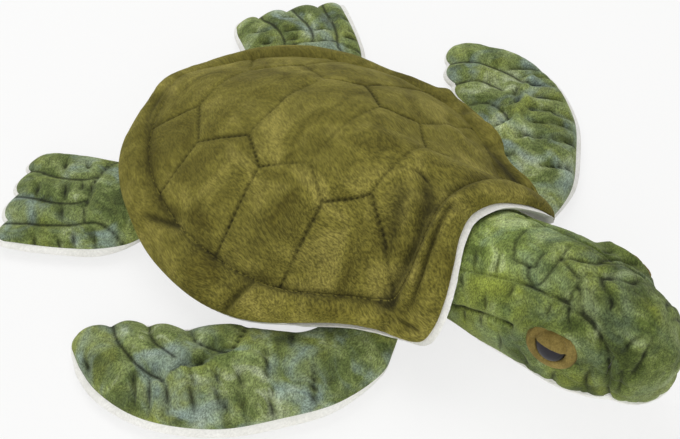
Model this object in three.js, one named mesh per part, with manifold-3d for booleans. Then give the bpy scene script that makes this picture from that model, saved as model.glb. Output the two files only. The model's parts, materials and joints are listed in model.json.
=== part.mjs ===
// A stuffed plush sea turtle that lies flat: a quilted shell with a padded skirt and a collar, a white lining
// and belly, a head on a soft neck, and four flippers sewn in at rounded roots. Left and right mirror each
// other. Millimetres. +X is the way the turtle heads, +Y its left and +Z up. The finished toy's origin is on
// the floor, under the middle of it all.
import * as THREE from "three";
import Module from "manifold-3d";
import { mergeVertices } from "three/addons/utils/BufferGeometryUtils.js";

const wasm = await Module();
wasm.setup();

// Fabric and the room between pieces
const fabricThickness = 2; // pile fabric with its backing
const seamGap = 0.3; // between two pieces that are sewn or pressed together
const padRoom = 0.95; // between a stuffing pad and the fabric over it
const headPadRoom = 0.7; // the same in the head
const edgeBand = 1; // height of the blunt edge round a stuffing pad
const cutOverrun = 20; // how far a cutting shape runs past what it cuts

// Shell
const shellLength = 269; // skirt's rear edge to the front corners
const shellWidth = 230;
const domeRise = 46.5; // middle of the dome above the groove round it
const grooveRise = 11.4; // that groove above the skirt's edge
const collarRise = 48.4; // front arch above the skirt's edge
const coverThickness = 3.5; // quilted cover with its wadding
const coverRoom = 2.9; // between the cover and the stuffing under it
const quiltPuff = 2.6; // how far a scute swells above its seams
const quiltStep = 17; // longest step along a seam between scutes
const grooveGap = 1.1; // between the cover and the skirt, down in the groove
const skirtPuff = 4.5;
const skirtEdge = 3; // thickness of the skirt at its edges
const skirtDroop = 7.6; // how much lower the skirt hangs between the flippers
const liningThickness = 1.8;
const liningLip = 2.2; // how far the lining shows past the skirt's edge
const liningSetback = 3; // lining's upper end inside the collar, out from the groove

// Neck and head
const neckSideRoom = 17; // room beside the neck in the collar
const nodRoom = 9; // room above the neck in the collar
const neckClearance = 10.5; // neck's underside above the floor
const neckRootSetback = 27; // pivot of the neck behind the collar's arch
const neckRearSetback = 20; // rear end of the neck's panels behind that arch
const neckTunnelSetback = 30; // front of the body's stuffing behind that arch
const neckTunnelRoom = 7; // room round the neck in the body's stuffing
const neckRootInset = 2; // neck root inside the neck's half height
const headLength = 131; // rear end of the neck's panels to the muzzle seam
const headWidth = 79;
const headHeight = 69.2;
const headLift = 15.6; // how much higher the head's axis is than the neck's
const muzzleLength = 23.6;
const muzzleDrop = 6; // nose below the head's axis

// Eyes
const eyeRadius = 7.8;
const eyeDome = 4.4; // height of the moulded dome
const eyeFlange = 0.8;
const shankRadius = 2.2;
const shankLength = 12;
const washerRadius = 7;
const washerThickness = 1.6;
const washerDrop = 1.2; // washer inside the fabric, where the head curves away
const feltRingRadius = 14;
const feltThickness = 1.8;
const feltSkirt = 5; // felt below the eye's seat before it is trimmed to the head
const eyelidRadius = 12.4;
const eyelidThickness = 1.4;
const eyelidEdge = 0.6; // straight edge of the lid above the eye's middle

// Flippers
const rootRadius = 9; // rounded root that turns in the body
const rootFloorGap = 2; // root above the floor
const flapRoom = 3; // room above the roots under the lining
const socketClearance = 0.4;
const flipperFloorGap = 0.3; // flat underside above the belly's level
const frontSweepLength = 157; // how far the front flipper reaches back along its root's line
const frontReach = 86; // how far it reaches out from that line
const frontRootLength = 46;
const frontSwell = 10.4; // half thickness where it is fullest
const frontTipDrop = 3;
const frontRootOutset = 8; // root's axis outside the groove
const frontRootDegrees = 24; // root's line, turned in towards the head
const rearReach = 86;
const rearSpread = 74;
const rearRootLength = 60;
const rearSwell = 9.2;
const rearTipDrop = 2.5;
const rearRootOutset = 5.8;
const rearRootDegrees = -36.6; // root's line, turned in towards the tail
const flipperEdge = 0.5; // blunt edge of each panel along its seam
const lobeBulge = 4.5; // how far a lobe swells past its notches
const channelDepth = 2.2; // sewn channels between the lobes
const stuffingInset = 5; // stuffing inside a flipper's seam allowance

// Heights that follow from those sizes
const hingeHeight = rootFloorGap + rootRadius;
const liningUnderside = hingeHeight + rootRadius + flapRoom;
const bellyHeight = liningUnderside - seamGap;
const skirtEdgeHeight = liningUnderside + liningThickness + seamGap + skirtEdge / 2;
const grooveHeight = skirtEdgeHeight + grooveRise;
const domeTop = grooveHeight + domeRise;
const collarTop = skirtEdgeHeight + collarRise;
const neckRoof = collarTop - skirtEdge / 2 - seamGap - liningThickness - nodRoom;
const neckHalfHeight = (neckRoof - neckClearance) / 2;
const neckAxisHeight = neckClearance + neckHalfHeight;
const neckRootRadius = neckHalfHeight - neckRootInset;

// Skirt's edge from the front arch round to the rear: shares of shell length and width, of the collar's rise
// and of the droop
const edgeShares = [
  [0.429, 0, 1, 0],
  [0.444, 0.07, 0.98, 0],
  [0.474, 0.139, 0.835, 0],
  [0.496, 0.2, 0.587, 0],
  [0.5, 0.243, 0.318, 0],
  [0.485, 0.265, 0.11, 0],
  [0.44, 0.274, 0.01, 0],
  [0.381, 0.296, 0, 0],
  [0.322, 0.335, 0, 0],
  [0.255, 0.396, 0, 0.05],
  [0.191, 0.448, 0, 0.2],
  [0.121, 0.483, 0, 0.5],
  [0.035, 0.5, 0, 0.85],
  [-0.058, 0.493, 0, 1],
  [-0.151, 0.47, 0, 0.8],
  [-0.236, 0.43, 0, 0.15],
  [-0.318, 0.374, 0, 0],
  [-0.385, 0.304, 0, 0],
  [-0.433, 0.217, 0, 0.1],
  [-0.474, 0.113, 0, 0.6],
  [-0.5, 0, 0, 0.8],
];

// Sewn groove between dome and skirt, at the same stations: shares of shell length and width, and of the
// collar's rise
const grooveShares = [
  [0.368, 0, 0.837],
  [0.374, 0.057, 0.816],
  [0.388, 0.122, 0.713],
  [0.4, 0.178, 0.496],
  [0.401, 0.217, 0.289],
  [0.392, 0.243, 0.124],
  [0.362, 0.261, 0.062],
  [0.318, 0.287, 0.03],
  [0.27, 0.326, 0.02],
  [0.214, 0.367, 0],
  [0.158, 0.396, 0],
  [0.099, 0.411, 0],
  [0.024, 0.415, 0],
  [-0.058, 0.409, 0],
  [-0.132, 0.387, 0],
  [-0.203, 0.354, 0],
  [-0.27, 0.309, 0],
  [-0.333, 0.246, 0],
  [-0.381, 0.174, 0],
  [-0.422, 0.091, 0],
  [-0.455, 0, 0],
];

// Belly's low lip under the neck, at the first stations: shares of shell length and width, and of the
// belly's height
const lipShares = [
  [0.388, 0, 0.22],
  [0.388, 0.06, 0.22],
  [0.388, 0.122, 0.24],
  [0.392, 0.174, 0.3],
  [0.396, 0.213, 0.45],
  [0.388, 0.239, 0.68],
  [0.362, 0.261, 0.88],
];
const bellyFlatShare = 0.82; // part of the belly that lies flat
const stuffingShare = 0.955; // body's stuffing inside the groove
const domeCentreShare = 0.072; // dome's highest point ahead of the shell's middle
const domePower = 1.65; // how the dome falls off towards the groove
const skirtSwellPower = 0.8; // how the skirt closes towards the groove and the edge

// Corners of the scutes: the zigzag beside the spine, as shares of shell length and width
const innerCornerShares = [
  [0.242, 0.132],
  [0.079, 0.136],
  [-0.095, 0.144],
  [-0.296, 0.097],
];
const outerCornerShares = [
  [0.165, 0.2],
  [-0.014, 0.206],
  [-0.206, 0.205],
];
const seamStations = [5, 9.5, 12, 15, 17.7]; // where the side seams meet the groove
const pillowShares = [[1, 0], [0.82, 0.75], [0.5, 1]]; // rings of a scute: reach from its middle, and puff
const underShares = [1, 0.55]; // rings of its underside
const collarStartShare = 0.3; // rise of the collar over which the lining moves up inside it
const collarWidthShare = 0.217; // collar's half width, of the shell's width
const frontRootShare = 0.1685; // flippers' roots, of the way round the groove from the front
const rearRootShare = 0.40475;

// Head from the rear of the neck to the muzzle seam: place along it, then neck's share of the section, head's
// share of width and of height, share of the lift, and the crown's and side's seams in degrees from the top
const headShares = [
  [0, 1, 0, 0, 0, 50, 88],
  [0.145, 0.6, 0.4, 0.335, 0.064, 48, 86],
  [0.298, 0.25, 0.74, 0.69, 0.27, 43, 84],
  [0.489, 0, 1, 0.98, 0.56, 38, 76],
  [0.679, 0, 0.98, 0.99, 0.82, 36, 72],
  [0.87, 0, 0.886, 0.945, 1, 42, 72],
  [1, 0, 0.734, 0.885, 0.9, 58, 80],
];
const chinSeamDegrees = 120;
const eyePlaceShare = 0.771; // eye's place along the head
const eyeAngleDegrees = 73;
const muzzleWidthPower = 1.2; // how the muzzle's width and height close towards the nose
const muzzleHeightPower = 0.8;

// Flipper outlines from root to tip, as shares of sweep or spread and of reach: leading or front side, then
// the other
const frontOutlineShares = [
  [0.14, 0.18, -0.21, 0.07],
  [0.03, 0.5, -0.31, 0.1],
  [-0.14, 0.73, -0.417, 0.138],
  [-0.34, 0.93, -0.615, 0.288],
  [-0.6, 1, -0.756, 0.337],
  [-0.82, 0.88, -0.885, 0.41],
  [-0.965, 0.7, -0.985, 0.52],
];
const rearOutlineShares = [
  [0.486, 0.163, -0.46, 0.116],
  [0.5, 0.384, -0.554, 0.28],
  [0.432, 0.593, -0.635, 0.43],
  [0.351, 0.79, -0.69, 0.535],
  [0.27, 0.965, -0.716, 0.616],
];
const frontNotchShares = [3 / 7, 4 / 7, 5 / 7, 6 / 7, 1]; // along the trailing edge
const rearNotchShares = [0, 0.24, 0.54, 0.8, 1]; // across the far edge
const channelStartShare = 0.45; // how far in from the edge the channels run
const swellPlaceShare = 0.4; // where a flipper is fullest
const upperSwellPowers = [2.6, 0.6]; // how its section closes towards the seam, above and below
const underSwellPowers = [4, 0.4];
const tipSwellPower = 8; // how its far edge closes
const lobePower = 3; // how a lobe's bulge grows towards the edge
const tipFullnessShare = 0.62; // fullness at a flipper's tip against its middle

// Grids
const skirtColumns = 60;
const skirtRows = 4;
const liningRows = 2;
const bellyColumns = 36;
const bellyRimRows = 4;
const bellyRowsShare = 0.4; // where the belly's rows leave the flat
const stuffingRows = 5;
const headColumns = 24;
const headRows = 9;
const crownColumns = 12;
const sideColumns = 4;
const chinColumns = 8;
const muzzleRows = 4;
const cutterColumns = 48; // head's outline where it trims the felt
const eyeColumns = 20;
const eyeRows = 4;
const rootShares = [-1, -0.6, -0.25]; // rows round a flipper's root, ahead of its axis
const frontColumns = 6;
const frontPadColumns = 4;
const frontLobeRows = 2; // rows of a front flipper in each lobe
const rearLobeColumns = 3; // columns of a rear flipper in each lobe
const rearPadLobeColumns = 2;
const rearRows = 5;
const seatColumns = 32; // round seats and tunnels
const ballColumns = 24;
const ballRows = 12;
const pegColumns = 16;
const slopeStep = 0.01; // between two points that give a slope

// Finishes
const oliveMinky = { color: 0x77703a, roughness: 0.9, metalness: 0 };
const mottledMinky = { color: 0x64803f, roughness: 0.9, metalness: 0 };
const whiteMinky = { color: 0xebebe4, roughness: 0.95, metalness: 0 };
const fibreFill = { color: 0xf6f6f2, roughness: 1, metalness: 0 };
const oliveFelt = { color: 0x7d6e3c, roughness: 1, metalness: 0 };
const darkPlastic = { color: 0x2a2630, roughness: 0.15, metalness: 0 };
const washerPlastic = { color: 0xe6e6de, roughness: 0.5, metalness: 0 };

// Places that follow from the tables
const neckHalfWidth = shellWidth * collarWidthShare - neckSideRoom;
const neckTunnelRadius = neckHalfWidth + neckTunnelRoom;
const collarX = shellLength * edgeShares[0][0];
const neckPivot = { x: collarX - neckRootSetback, y: 0, z: neckAxisHeight };

const station = (count) => count / (2 * (edgeShares.length - 1)); // place on a ring, 0 to 1, of a station
const steps = (count) => Array.from({ length: count + 1 }, (_, k) => k / count);
const vector = (x, y, z) => new THREE.Vector3(x, y, z);

function namedMesh(name, geometry, finish) {
  geometry.computeVertexNormals();
  const mesh = new THREE.Mesh(geometry, new THREE.MeshStandardMaterial(finish));
  mesh.name = name;
  return mesh;
}

// Six times the volume that a mesh encloses: negative when its faces point inwards
function signedVolume(geometry) {
  const place = geometry.getAttribute("position");
  const corners = [vector(), vector(), vector()];
  let sum = 0;
  for (let k = 0; k < geometry.index.count; k += 3) {
    corners.forEach((corner, n) => corner.fromBufferAttribute(place, geometry.index.getX(k + n)));
    sum += corners[0].dot(corners[1].cross(corners[2]));
  }
  return sum;
}

function facingOut(geometry) {
  if (signedVolume(geometry) < 0) geometry.index.array.reverse();
  return geometry;
}

function geometryOf(points, triangles) {
  const geometry = new THREE.BufferGeometry().setFromPoints(points);
  geometry.setIndex(triangles);
  return geometry;
}

// Closed solid between two surfaces over the same grid. us run along or round it, vs across it.
// closed joins the last u to the first, pole draws the first v together in one point.
function layer(upper, lower, us, vs, { closed = false, pole = false } = {}) {
  const points = [];
  const [top, bottom] = [upper, lower].map((surface) => {
    const columns = [];
    for (const u of closed ? us.slice(0, -1) : us) {
      const shared = pole && columns.length > 0;
      columns.push(vs.map((v, j) => (shared && j === 0 ? columns[0][0] : points.push(surface(u, v)) - 1)));
    }
    return closed ? [...columns, columns[0]] : columns;
  });
  const triangles = [];
  const face = (...corners) => {
    const ring = corners.filter((corner, n) => corners.indexOf(corner) === n);
    for (let n = 2; n < ring.length; n++) triangles.push(ring[0], ring[n - 1], ring[n]);
  };
  const lastU = us.length - 1;
  const lastV = vs.length - 1;
  for (let i = 1; i <= lastU; i++) {
    for (let j = 1; j <= lastV; j++) {
      face(top[i - 1][j - 1], top[i][j - 1], top[i][j], top[i - 1][j]);
      face(bottom[i - 1][j], bottom[i][j], bottom[i][j - 1], bottom[i - 1][j - 1]);
    }
    face(top[i - 1][lastV], top[i][lastV], bottom[i][lastV], bottom[i - 1][lastV]);
    if (!pole) face(top[i][0], top[i - 1][0], bottom[i - 1][0], bottom[i][0]);
  }
  for (let j = 1; j <= lastV && !closed; j++) {
    face(top[0][j - 1], top[0][j], bottom[0][j], bottom[0][j - 1]);
    face(top[lastU][j], top[lastU][j - 1], bottom[lastU][j - 1], bottom[lastU][j]);
  }
  return facingOut(geometryOf(points, triangles));
}

function solidOf(geometry) {
  const bare = geometry.clone();
  bare.deleteAttribute("normal");
  bare.deleteAttribute("uv");
  const merged = facingOut(mergeVertices(bare));
  return new wasm.Manifold(
    new wasm.Mesh({
      numProp: 3,
      vertProperties: new Float32Array(merged.getAttribute("position").array),
      triVerts: new Uint32Array(merged.index.array),
    }),
  );
}

function geometryFrom(solid) {
  const mesh = solid.getMesh();
  const geometry = new THREE.BufferGeometry();
  geometry.setAttribute("position", new THREE.BufferAttribute(mesh.vertProperties, mesh.numProp));
  geometry.setIndex(new THREE.BufferAttribute(mesh.triVerts, 1));
  return geometry;
}

const cutAway = (geometry, ...cutters) =>
  geometryFrom(cutters.reduce((solid, cutter) => solid.subtract(solidOf(cutter)), solidOf(geometry)));

// Closed curve through one half of a ring, from front to rear, and its mirror image
function ringThrough(half) {
  const mirrored = half.slice(1, -1).reverse();
  return new THREE.CatmullRomCurve3([...half, ...mirrored.map((p) => vector(p.x, -p.y, p.z))], true);
}

const edgeRing = ringThrough(
  edgeShares.map(([x, y, rise, droop]) =>
    vector(x * shellLength, y * shellWidth, skirtEdgeHeight + rise * collarRise - droop * skirtDroop),
  ),
);
const grooveRing = ringThrough(
  grooveShares.map(([x, y, rise]) =>
    vector(x * shellLength, y * shellWidth, grooveHeight + rise * collarRise),
  ),
);
const bellyRing = ringThrough(
  grooveShares.map((groove, k) => {
    const [x, y, rise] = k < lipShares.length ? lipShares[k] : [groove[0], groove[1], 1];
    const height = rise * (bellyHeight - edgeShares[k][3] * skirtDroop);
    return vector(x * shellLength, y * shellWidth, height);
  }),
);
const domeCentre = vector(domeCentreShare * shellLength, 0, 0);
const grooveSamples = grooveRing.getPoints(8 * edgeShares.length).map((p) => ({
  angle: Math.atan2(p.y, p.x - domeCentre.x),
  radius: Math.hypot(p.x - domeCentre.x, p.y),
  height: p.z,
}));

// Height of the dome over a point of its plan: a power curve from the middle down to the groove that way
function domeHeight(x, y) {
  const angle = Math.atan2(Math.abs(y), x - domeCentre.x);
  const next = grooveSamples.findIndex((sample, k) => k > 0 && sample.angle >= angle);
  const [a, b] = [grooveSamples[Math.max(next - 1, 0)], grooveSamples[Math.max(next, 0)]];
  const share = b.angle > a.angle ? (angle - a.angle) / (b.angle - a.angle) : 0;
  const reach = Math.hypot(x - domeCentre.x, y) / THREE.MathUtils.lerp(a.radius, b.radius, share);
  return domeTop - (domeTop - THREE.MathUtils.lerp(a.height, b.height, share)) * reach ** domePower;
}

// Plan place of a scute's stop: a groove station, counted round to either side, or a corner's shares
function planOf(stop) {
  if (Array.isArray(stop)) return vector(stop[0] * shellLength, stop[1] * shellWidth, 0);
  return grooveRing.getPoint((station(stop) + 1) % 1).setZ(0);
}

// Steps from one stop towards the next, round the groove between two stations and else along a straight seam
function stepsBetween(from, to) {
  const onGroove = !Array.isArray(from) && !Array.isArray(to);
  const start = planOf(from);
  const end = planOf(to);
  const lap = 1 / station(1);
  const span = ((to - from + 1.5 * lap) % lap) - 0.5 * lap;
  const count = onGroove ? Math.ceil(2 * Math.abs(span)) : Math.ceil(start.distanceTo(end) / quiltStep);
  return steps(count)
    .slice(0, -1)
    .map((share) => (onGroove ? planOf(from + share * span) : start.clone().lerp(end, share)))
    .map((point) => ({ onGroove, point }));
}

// Stops round each scute, anticlockwise: four down each side and five down the spine
function scuteStops() {
  const [inner, outer, seams] = [innerCornerShares, outerCornerShares, seamStations];
  const mirror = (stop) => (Array.isArray(stop) ? [stop[0], -stop[1]] : -stop);
  const mirrored = (stops) => stops.map(mirror).reverse();
  const side = [
    [inner[0], seams[0], seams[1], outer[0]],
    [outer[0], seams[1], seams[2], outer[1], inner[1]],
    [outer[1], seams[2], seams[3], outer[2], inner[2]],
    [outer[2], seams[3], seams[4], inner[3]],
  ];
  const halfSpine = [
    [seams[0], inner[0]],
    [inner[0], outer[0], inner[1]],
    [inner[1], outer[1], inner[2]],
    [inner[2], outer[2], inner[3]],
    [inner[3], seams[4]],
  ];
  return [...side, ...side.map(mirrored), ...halfSpine.map((half) => [...half, ...mirrored(half)])];
}

// Quilted cover: every scute is a pillow that rises from its seams, over a plain underside
function shellCover() {
  const points = [];
  const triangles = [];
  const add = (plan, lift) => points.push(vector(plan.x, plan.y, domeHeight(plan.x, plan.y) + lift)) - 1;
  for (const stops of scuteStops()) {
    const border = stops.flatMap((stop, k) => stepsBetween(stop, stops[(k + 1) % stops.length]));
    const sum = border.reduce((total, { point }) => total.add(point), vector(0, 0, 0));
    const centre = sum.divideScalar(border.length);
    const ring = (reach, lift) => border.map(({ point }) => add(centre.clone().lerp(point, reach), lift));
    const rings = pillowShares.map(([reach, puff]) => ring(reach, puff * quiltPuff));
    const underRings = underShares.map((reach) => ring(reach, -coverThickness));
    const top = add(centre, quiltPuff);
    const bottom = add(centre, -coverThickness);
    border.forEach(({ onGroove }, k) => {
      const next = (k + 1) % border.length;
      rings.slice(1).forEach((inner, n) => {
        triangles.push(rings[n][k], rings[n][next], inner[next], rings[n][k], inner[next], inner[k]);
      });
      const [under, innerUnder] = underRings;
      triangles.push(under[next], under[k], innerUnder[next], under[k], innerUnder[k], innerUnder[next]);
      triangles.push(rings.at(-1)[k], rings.at(-1)[next], top, innerUnder[next], innerUnder[k], bottom);
      if (!onGroove) return;
      triangles.push(under[k], under[next], rings[0][next], under[k], rings[0][next], rings[0][k]);
    });
  }
  return facingOut(mergeVertices(geometryOf(points, triangles)));
}

// Place across the skirt, 0 at the groove and 1 at the edge, lifted square to it
function skirtPoint(u, across, lift) {
  const groove = grooveRing.getPoint(u);
  const width = edgeRing.getPoint(u).sub(groove);
  const up = width.clone().cross(edgeRing.getTangent(u)).normalize();
  return groove.addScaledVector(width, across).addScaledVector(up, lift);
}

const skirtWidth = (u) => grooveRing.getPoint(u).distanceTo(edgeRing.getPoint(u));

function shellSkirt() {
  const upper = (u, v) => {
    const across = Math.max(v, grooveGap / skirtWidth(u));
    return skirtPoint(u, across, skirtEdge / 2 + skirtPuff * (4 * v * (1 - v)) ** skirtSwellPower);
  };
  const lower = (u, v) => skirtPoint(u, Math.max(v, grooveGap / skirtWidth(u)), (-skirtEdge / 2) * v);
  return layer(upper, lower, steps(skirtColumns), steps(skirtRows), { closed: true });
}

// Lining under the skirt: level from the belly's edge at the sides, and up inside the collar at the front
function shellLining() {
  const liningLine = (u) => {
    const outer = skirtPoint(u, 1 + liningLip / skirtWidth(u), -skirtEdge / 2 - seamGap);
    const seat = bellyRing.getPoint(u).setZ(edgeRing.getPoint(u).z - skirtEdge / 2 - seamGap);
    const rise = (grooveRing.getPoint(u).z - grooveHeight) / (grooveShares[0][2] * collarRise);
    const collarShare = THREE.MathUtils.clamp(rise / collarStartShare, 0, 1);
    const top = skirtPoint(u, liningSetback / skirtWidth(u), -skirtEdge / 2 - seamGap);
    return [seat.lerp(top, collarShare), outer];
  };
  const surface = (depth) => (u, v) => {
    const [inner, outer] = liningLine(u);
    const down = edgeRing.getTangent(u).cross(outer.clone().sub(inner)).normalize();
    return inner.lerp(outer, v).addScaledVector(down, depth);
  };
  const us = steps(skirtColumns);
  return layer(surface(0), surface(liningThickness), us, steps(liningRows), { closed: true });
}

// Belly: flat on the floor in the middle, its rim turned up to the lining and low under the neck
function bellyPoint(u, v, inset) {
  const rim = bellyRing.getPoint(u);
  const plan = rim.clone().setZ(0).sub(domeCentre);
  plan.multiplyScalar(1 - inset / plan.length());
  const turn = (Math.max(v - bellyRowsShare, 0) / (1 - bellyRowsShare)) * (Math.PI / 2);
  const reach = Math.min(v / bellyRowsShare, 1) * bellyFlatShare + (1 - bellyFlatShare) * Math.sin(turn);
  return plan.multiplyScalar(reach).add(domeCentre).setZ(inset + (rim.z - inset) * (1 - Math.cos(turn)));
}

function bellyPanel(sockets) {
  const surface = (inset) => (u, v) => bellyPoint(u, v, inset);
  const rows = [0, ...steps(bellyRimRows).map((share) => THREE.MathUtils.lerp(bellyRowsShare, 1, share))];
  const us = steps(bellyColumns);
  const panel = layer(surface(0), surface(fabricThickness), us, rows, { closed: true, pole: true });
  return cutAway(panel, ...sockets);
}

// Body's stuffing, between the belly and the cover, with a round seat for the neck's root
function bodyStuffing(sockets) {
  const place = (u, v) => domeCentre.clone().lerp(grooveRing.getPoint(u).setZ(0), stuffingShare * v);
  const upper = (u, v) => {
    const at = place(u, v);
    return at.setZ(domeHeight(at.x, at.y) - coverThickness - coverRoom);
  };
  const lower = (u, v) => {
    const at = place(u, v);
    const rim = bellyRing.getPoint(u);
    const floor = fabricThickness + padRoom;
    const share = at.distanceTo(domeCentre) / (rim.clone().setZ(0).distanceTo(domeCentre) - floor);
    const turn = Math.asin(THREE.MathUtils.clamp((share - bellyFlatShare) / (1 - bellyFlatShare), 0, 1));
    return at.setZ(floor + (rim.z - floor) * (1 - Math.cos(turn)));
  };
  const pad = layer(upper, lower, steps(bellyColumns), steps(stuffingRows), { closed: true, pole: true });
  const tunnelLength = neckTunnelSetback + cutOverrun;
  const tunnel = new THREE.CylinderGeometry(neckTunnelRadius, neckTunnelRadius, tunnelLength, seatColumns)
    .rotateZ(Math.PI / 2)
    .translate(collarX - neckTunnelSetback + tunnelLength / 2, 0, neckAxisHeight);
  return cutAway(pad, tunnel, neckBall(seamGap), ...sockets);
}

function neckBall(growth) {
  const ball = new THREE.SphereGeometry(neckRootRadius + growth, ballColumns, ballRows);
  return ball.translate(neckPivot.x, neckPivot.y, neckPivot.z);
}

// Section of neck and head at a share of its length: half width, half height, axis height, seams in degrees
const headTable = new THREE.CubicInterpolant(
  headShares.map((row) => row[0]),
  headShares.flatMap(([, neck, wide, high, lift, crown, side]) => [
    neck * neckHalfWidth + (wide * headWidth) / 2,
    neck * neckHalfHeight + (high * headHeight) / 2,
    neckAxisHeight + lift * headLift,
    crown,
    side,
  ]),
  5,
);
const headSection = (along) => [...headTable.evaluate(THREE.MathUtils.clamp(along, 0, 1))];

// Point of the head's skin: along 0 to 1 to the muzzle seam, then 1 to 2 round the muzzle to the nose.
// The angle is in degrees from the top towards +Y, and the inset goes in from the skin.
function headPoint(along, degrees, inset) {
  const [halfWidth, halfHeight, axis] = headSection(along);
  const turn = (THREE.MathUtils.clamp(along - 1, 0, 1) * Math.PI) / 2;
  const angle = THREE.MathUtils.degToRad(degrees);
  const width = (halfWidth - inset) * Math.cos(turn) ** muzzleWidthPower;
  const height = (halfHeight - inset) * Math.cos(turn) ** muzzleHeightPower;
  return vector(
    collarX - neckRearSetback + Math.min(along, 1) * headLength + (muzzleLength - inset) * Math.sin(turn),
    width * Math.sin(angle),
    axis - muzzleDrop * Math.sin(turn) ** 2 + height * Math.cos(angle),
  );
}

// Panel of the head between two seams, each a function of its place along, in degrees from the top
function headPanel(seams, columns, holes = []) {
  const surface = (inset) => (u, v) => {
    const along = v * (1 - seamGap / headLength);
    const margin = THREE.MathUtils.radToDeg(seamGap / 2 / headSection(along)[0]);
    const [from, to] = seams(headSection(along));
    return headPoint(along, THREE.MathUtils.lerp(from + margin, to - margin, u), inset);
  };
  return cutAway(layer(surface(0), surface(fabricThickness), steps(columns), steps(headRows)), ...holes);
}

function muzzlePanel() {
  const surface = (inset) => (u, v) => headPoint(2 - v, 360 * u, inset);
  const us = steps(headColumns);
  return layer(surface(0), surface(fabricThickness), us, steps(muzzleRows), { closed: true, pole: true });
}

// Whole head inside a given inset, closed by a flat face behind
function headCore(inset, columns) {
  const muzzle = steps(muzzleRows).map((share) => 2 - share);
  const rows = [...muzzle, ...steps(headRows).slice(1).map((share) => 1 - share)];
  const skin = (u, v) => headPoint(v, 360 * u, inset);
  const back = (u, v) => {
    const share = (2 - v) / 2;
    return headPoint(0, 0, inset)
      .setZ(neckAxisHeight)
      .lerp(headPoint(0, 360 * u, inset), share)
      .sub(vector(edgeBand, 0, 0));
  };
  return layer(skin, back, steps(columns), rows, { closed: true, pole: true });
}

// Frame of an eye at the head's skin: Y up along the skin and Z outwards
function eyeFrame(side) {
  const at = (along, degrees) => headPoint(along, side * degrees, 0);
  const centre = at(eyePlaceShare, eyeAngleDegrees);
  const forward = at(eyePlaceShare + slopeStep, eyeAngleDegrees).sub(centre);
  const down = at(eyePlaceShare, eyeAngleDegrees + slopeStep).sub(centre);
  const out = forward.cross(down).multiplyScalar(side).normalize();
  const across = out.clone().cross(down).normalize();
  return new THREE.Matrix4().makeBasis(across, out.clone().cross(across), out).setPosition(centre);
}

// Disc or ring on an eye's own axis, its heights given as functions of the radius
function eyeDisc(inner, outer, upper, lower, rows = 1) {
  const surface = (height) => (u, v) => {
    const radius = THREE.MathUtils.lerp(inner, outer, v);
    return vector(radius * Math.cos(2 * Math.PI * u), radius * Math.sin(2 * Math.PI * u), height(radius));
  };
  const ends = { closed: true, pole: inner === 0 };
  return layer(surface(upper), surface(lower), steps(eyeColumns), steps(rows), ends);
}

function eyePeg(radius, length) {
  const peg = new THREE.CylinderGeometry(radius, radius, length, pegColumns);
  return peg.rotateX(Math.PI / 2).translate(0, 0, -length / 2);
}

// Dome of an eye grown all round, down to a given floor
function eyeCap(growth, floor) {
  const dome = (radius) => {
    const share = radius / (eyeRadius + growth);
    return seamGap + eyeFlange + (eyeDome + growth) * Math.sqrt(Math.max(1 - share ** 2, 0));
  };
  return eyeDisc(0, eyeRadius + growth, dome, () => floor, eyeRows);
}

function plasticEye() {
  const top = seamGap + eyeFlange;
  const shank = eyePeg(shankRadius, shankLength + top).translate(0, 0, top);
  return geometryFrom(solidOf(eyeCap(0, seamGap)).add(solidOf(shank)));
}

// Felt that lies on the head between two lifts over it, out to a radius from the eye's axis
function feltOnHead(headAt, radius, under, over) {
  const disc = eyeDisc(0, radius, () => cutOverrun, () => -feltSkirt);
  return solidOf(disc).intersect(solidOf(headAt(over))).subtract(solidOf(headAt(under)));
}

function feltRing(headAt) {
  const felt = feltOnHead(headAt, feltRingRadius, seamGap, seamGap + feltThickness);
  const hole = eyePeg(eyeRadius + seamGap, 2 * cutOverrun).translate(0, 0, cutOverrun);
  return geometryFrom(felt.subtract(solidOf(hole)));
}

// Felt lid over the upper half of the eye and of its ring
function eyelid(headAt) {
  const under = 2 * seamGap + feltThickness;
  const rim = feltOnHead(headAt, eyelidRadius, under, under + eyelidThickness);
  const cap = solidOf(eyeCap(seamGap + eyelidThickness, -feltSkirt)).subtract(solidOf(headAt(under)));
  const size = 2 * eyelidRadius + cutOverrun;
  const below = new THREE.BoxGeometry(size, size, size).translate(0, eyelidEdge - size / 2, 0);
  return geometryFrom(rim.add(cap).subtract(solidOf(eyeCap(seamGap, -feltSkirt))).subtract(solidOf(below)));
}

function eyeWasher() {
  const top = -fabricThickness - washerDrop;
  return eyeDisc(shankRadius + seamGap, washerRadius, () => top, () => top - washerThickness);
}

// How far a place between two notches has swelled into its lobe: 0 at a notch and 1 midway
function lobeSwell(place, notches) {
  const next = notches.findIndex((notch) => notch > place);
  if (next < 1) return 0;
  return Math.sin((Math.PI * (place - notches[next - 1])) / (notches[next] - notches[next - 1]));
}

// Places from the first notch to the last, with a count of steps between every two
function rowsBetween(notches, count) {
  const shares = steps(count).slice(1);
  const between = (notch, k) => shares.map((share) => THREE.MathUtils.lerp(notches[k], notch, share));
  return [notches[0], ...notches.slice(1).flatMap(between)];
}

const frontFlipper = {
  sides: outlineSides(frontOutlineShares, frontSweepLength, frontReach, frontRootLength),
  reach: frontReach,
  rootLength: frontRootLength,
  swell: frontSwell,
  tipDrop: frontTipDrop,
  us: steps(frontColumns),
  padUs: steps(frontPadColumns),
  vs: [...rootShares, 0, ...rowsBetween([frontNotchShares[0] / 3, ...frontNotchShares], frontLobeRows)],
  lobe: (u, v) => ({ swell: lobeSwell(v, frontNotchShares), inside: v >= frontNotchShares[0], depth: u }),
  bulgeWay: (lead, trail) => trail.clone().sub(lead).normalize(),
};

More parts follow.
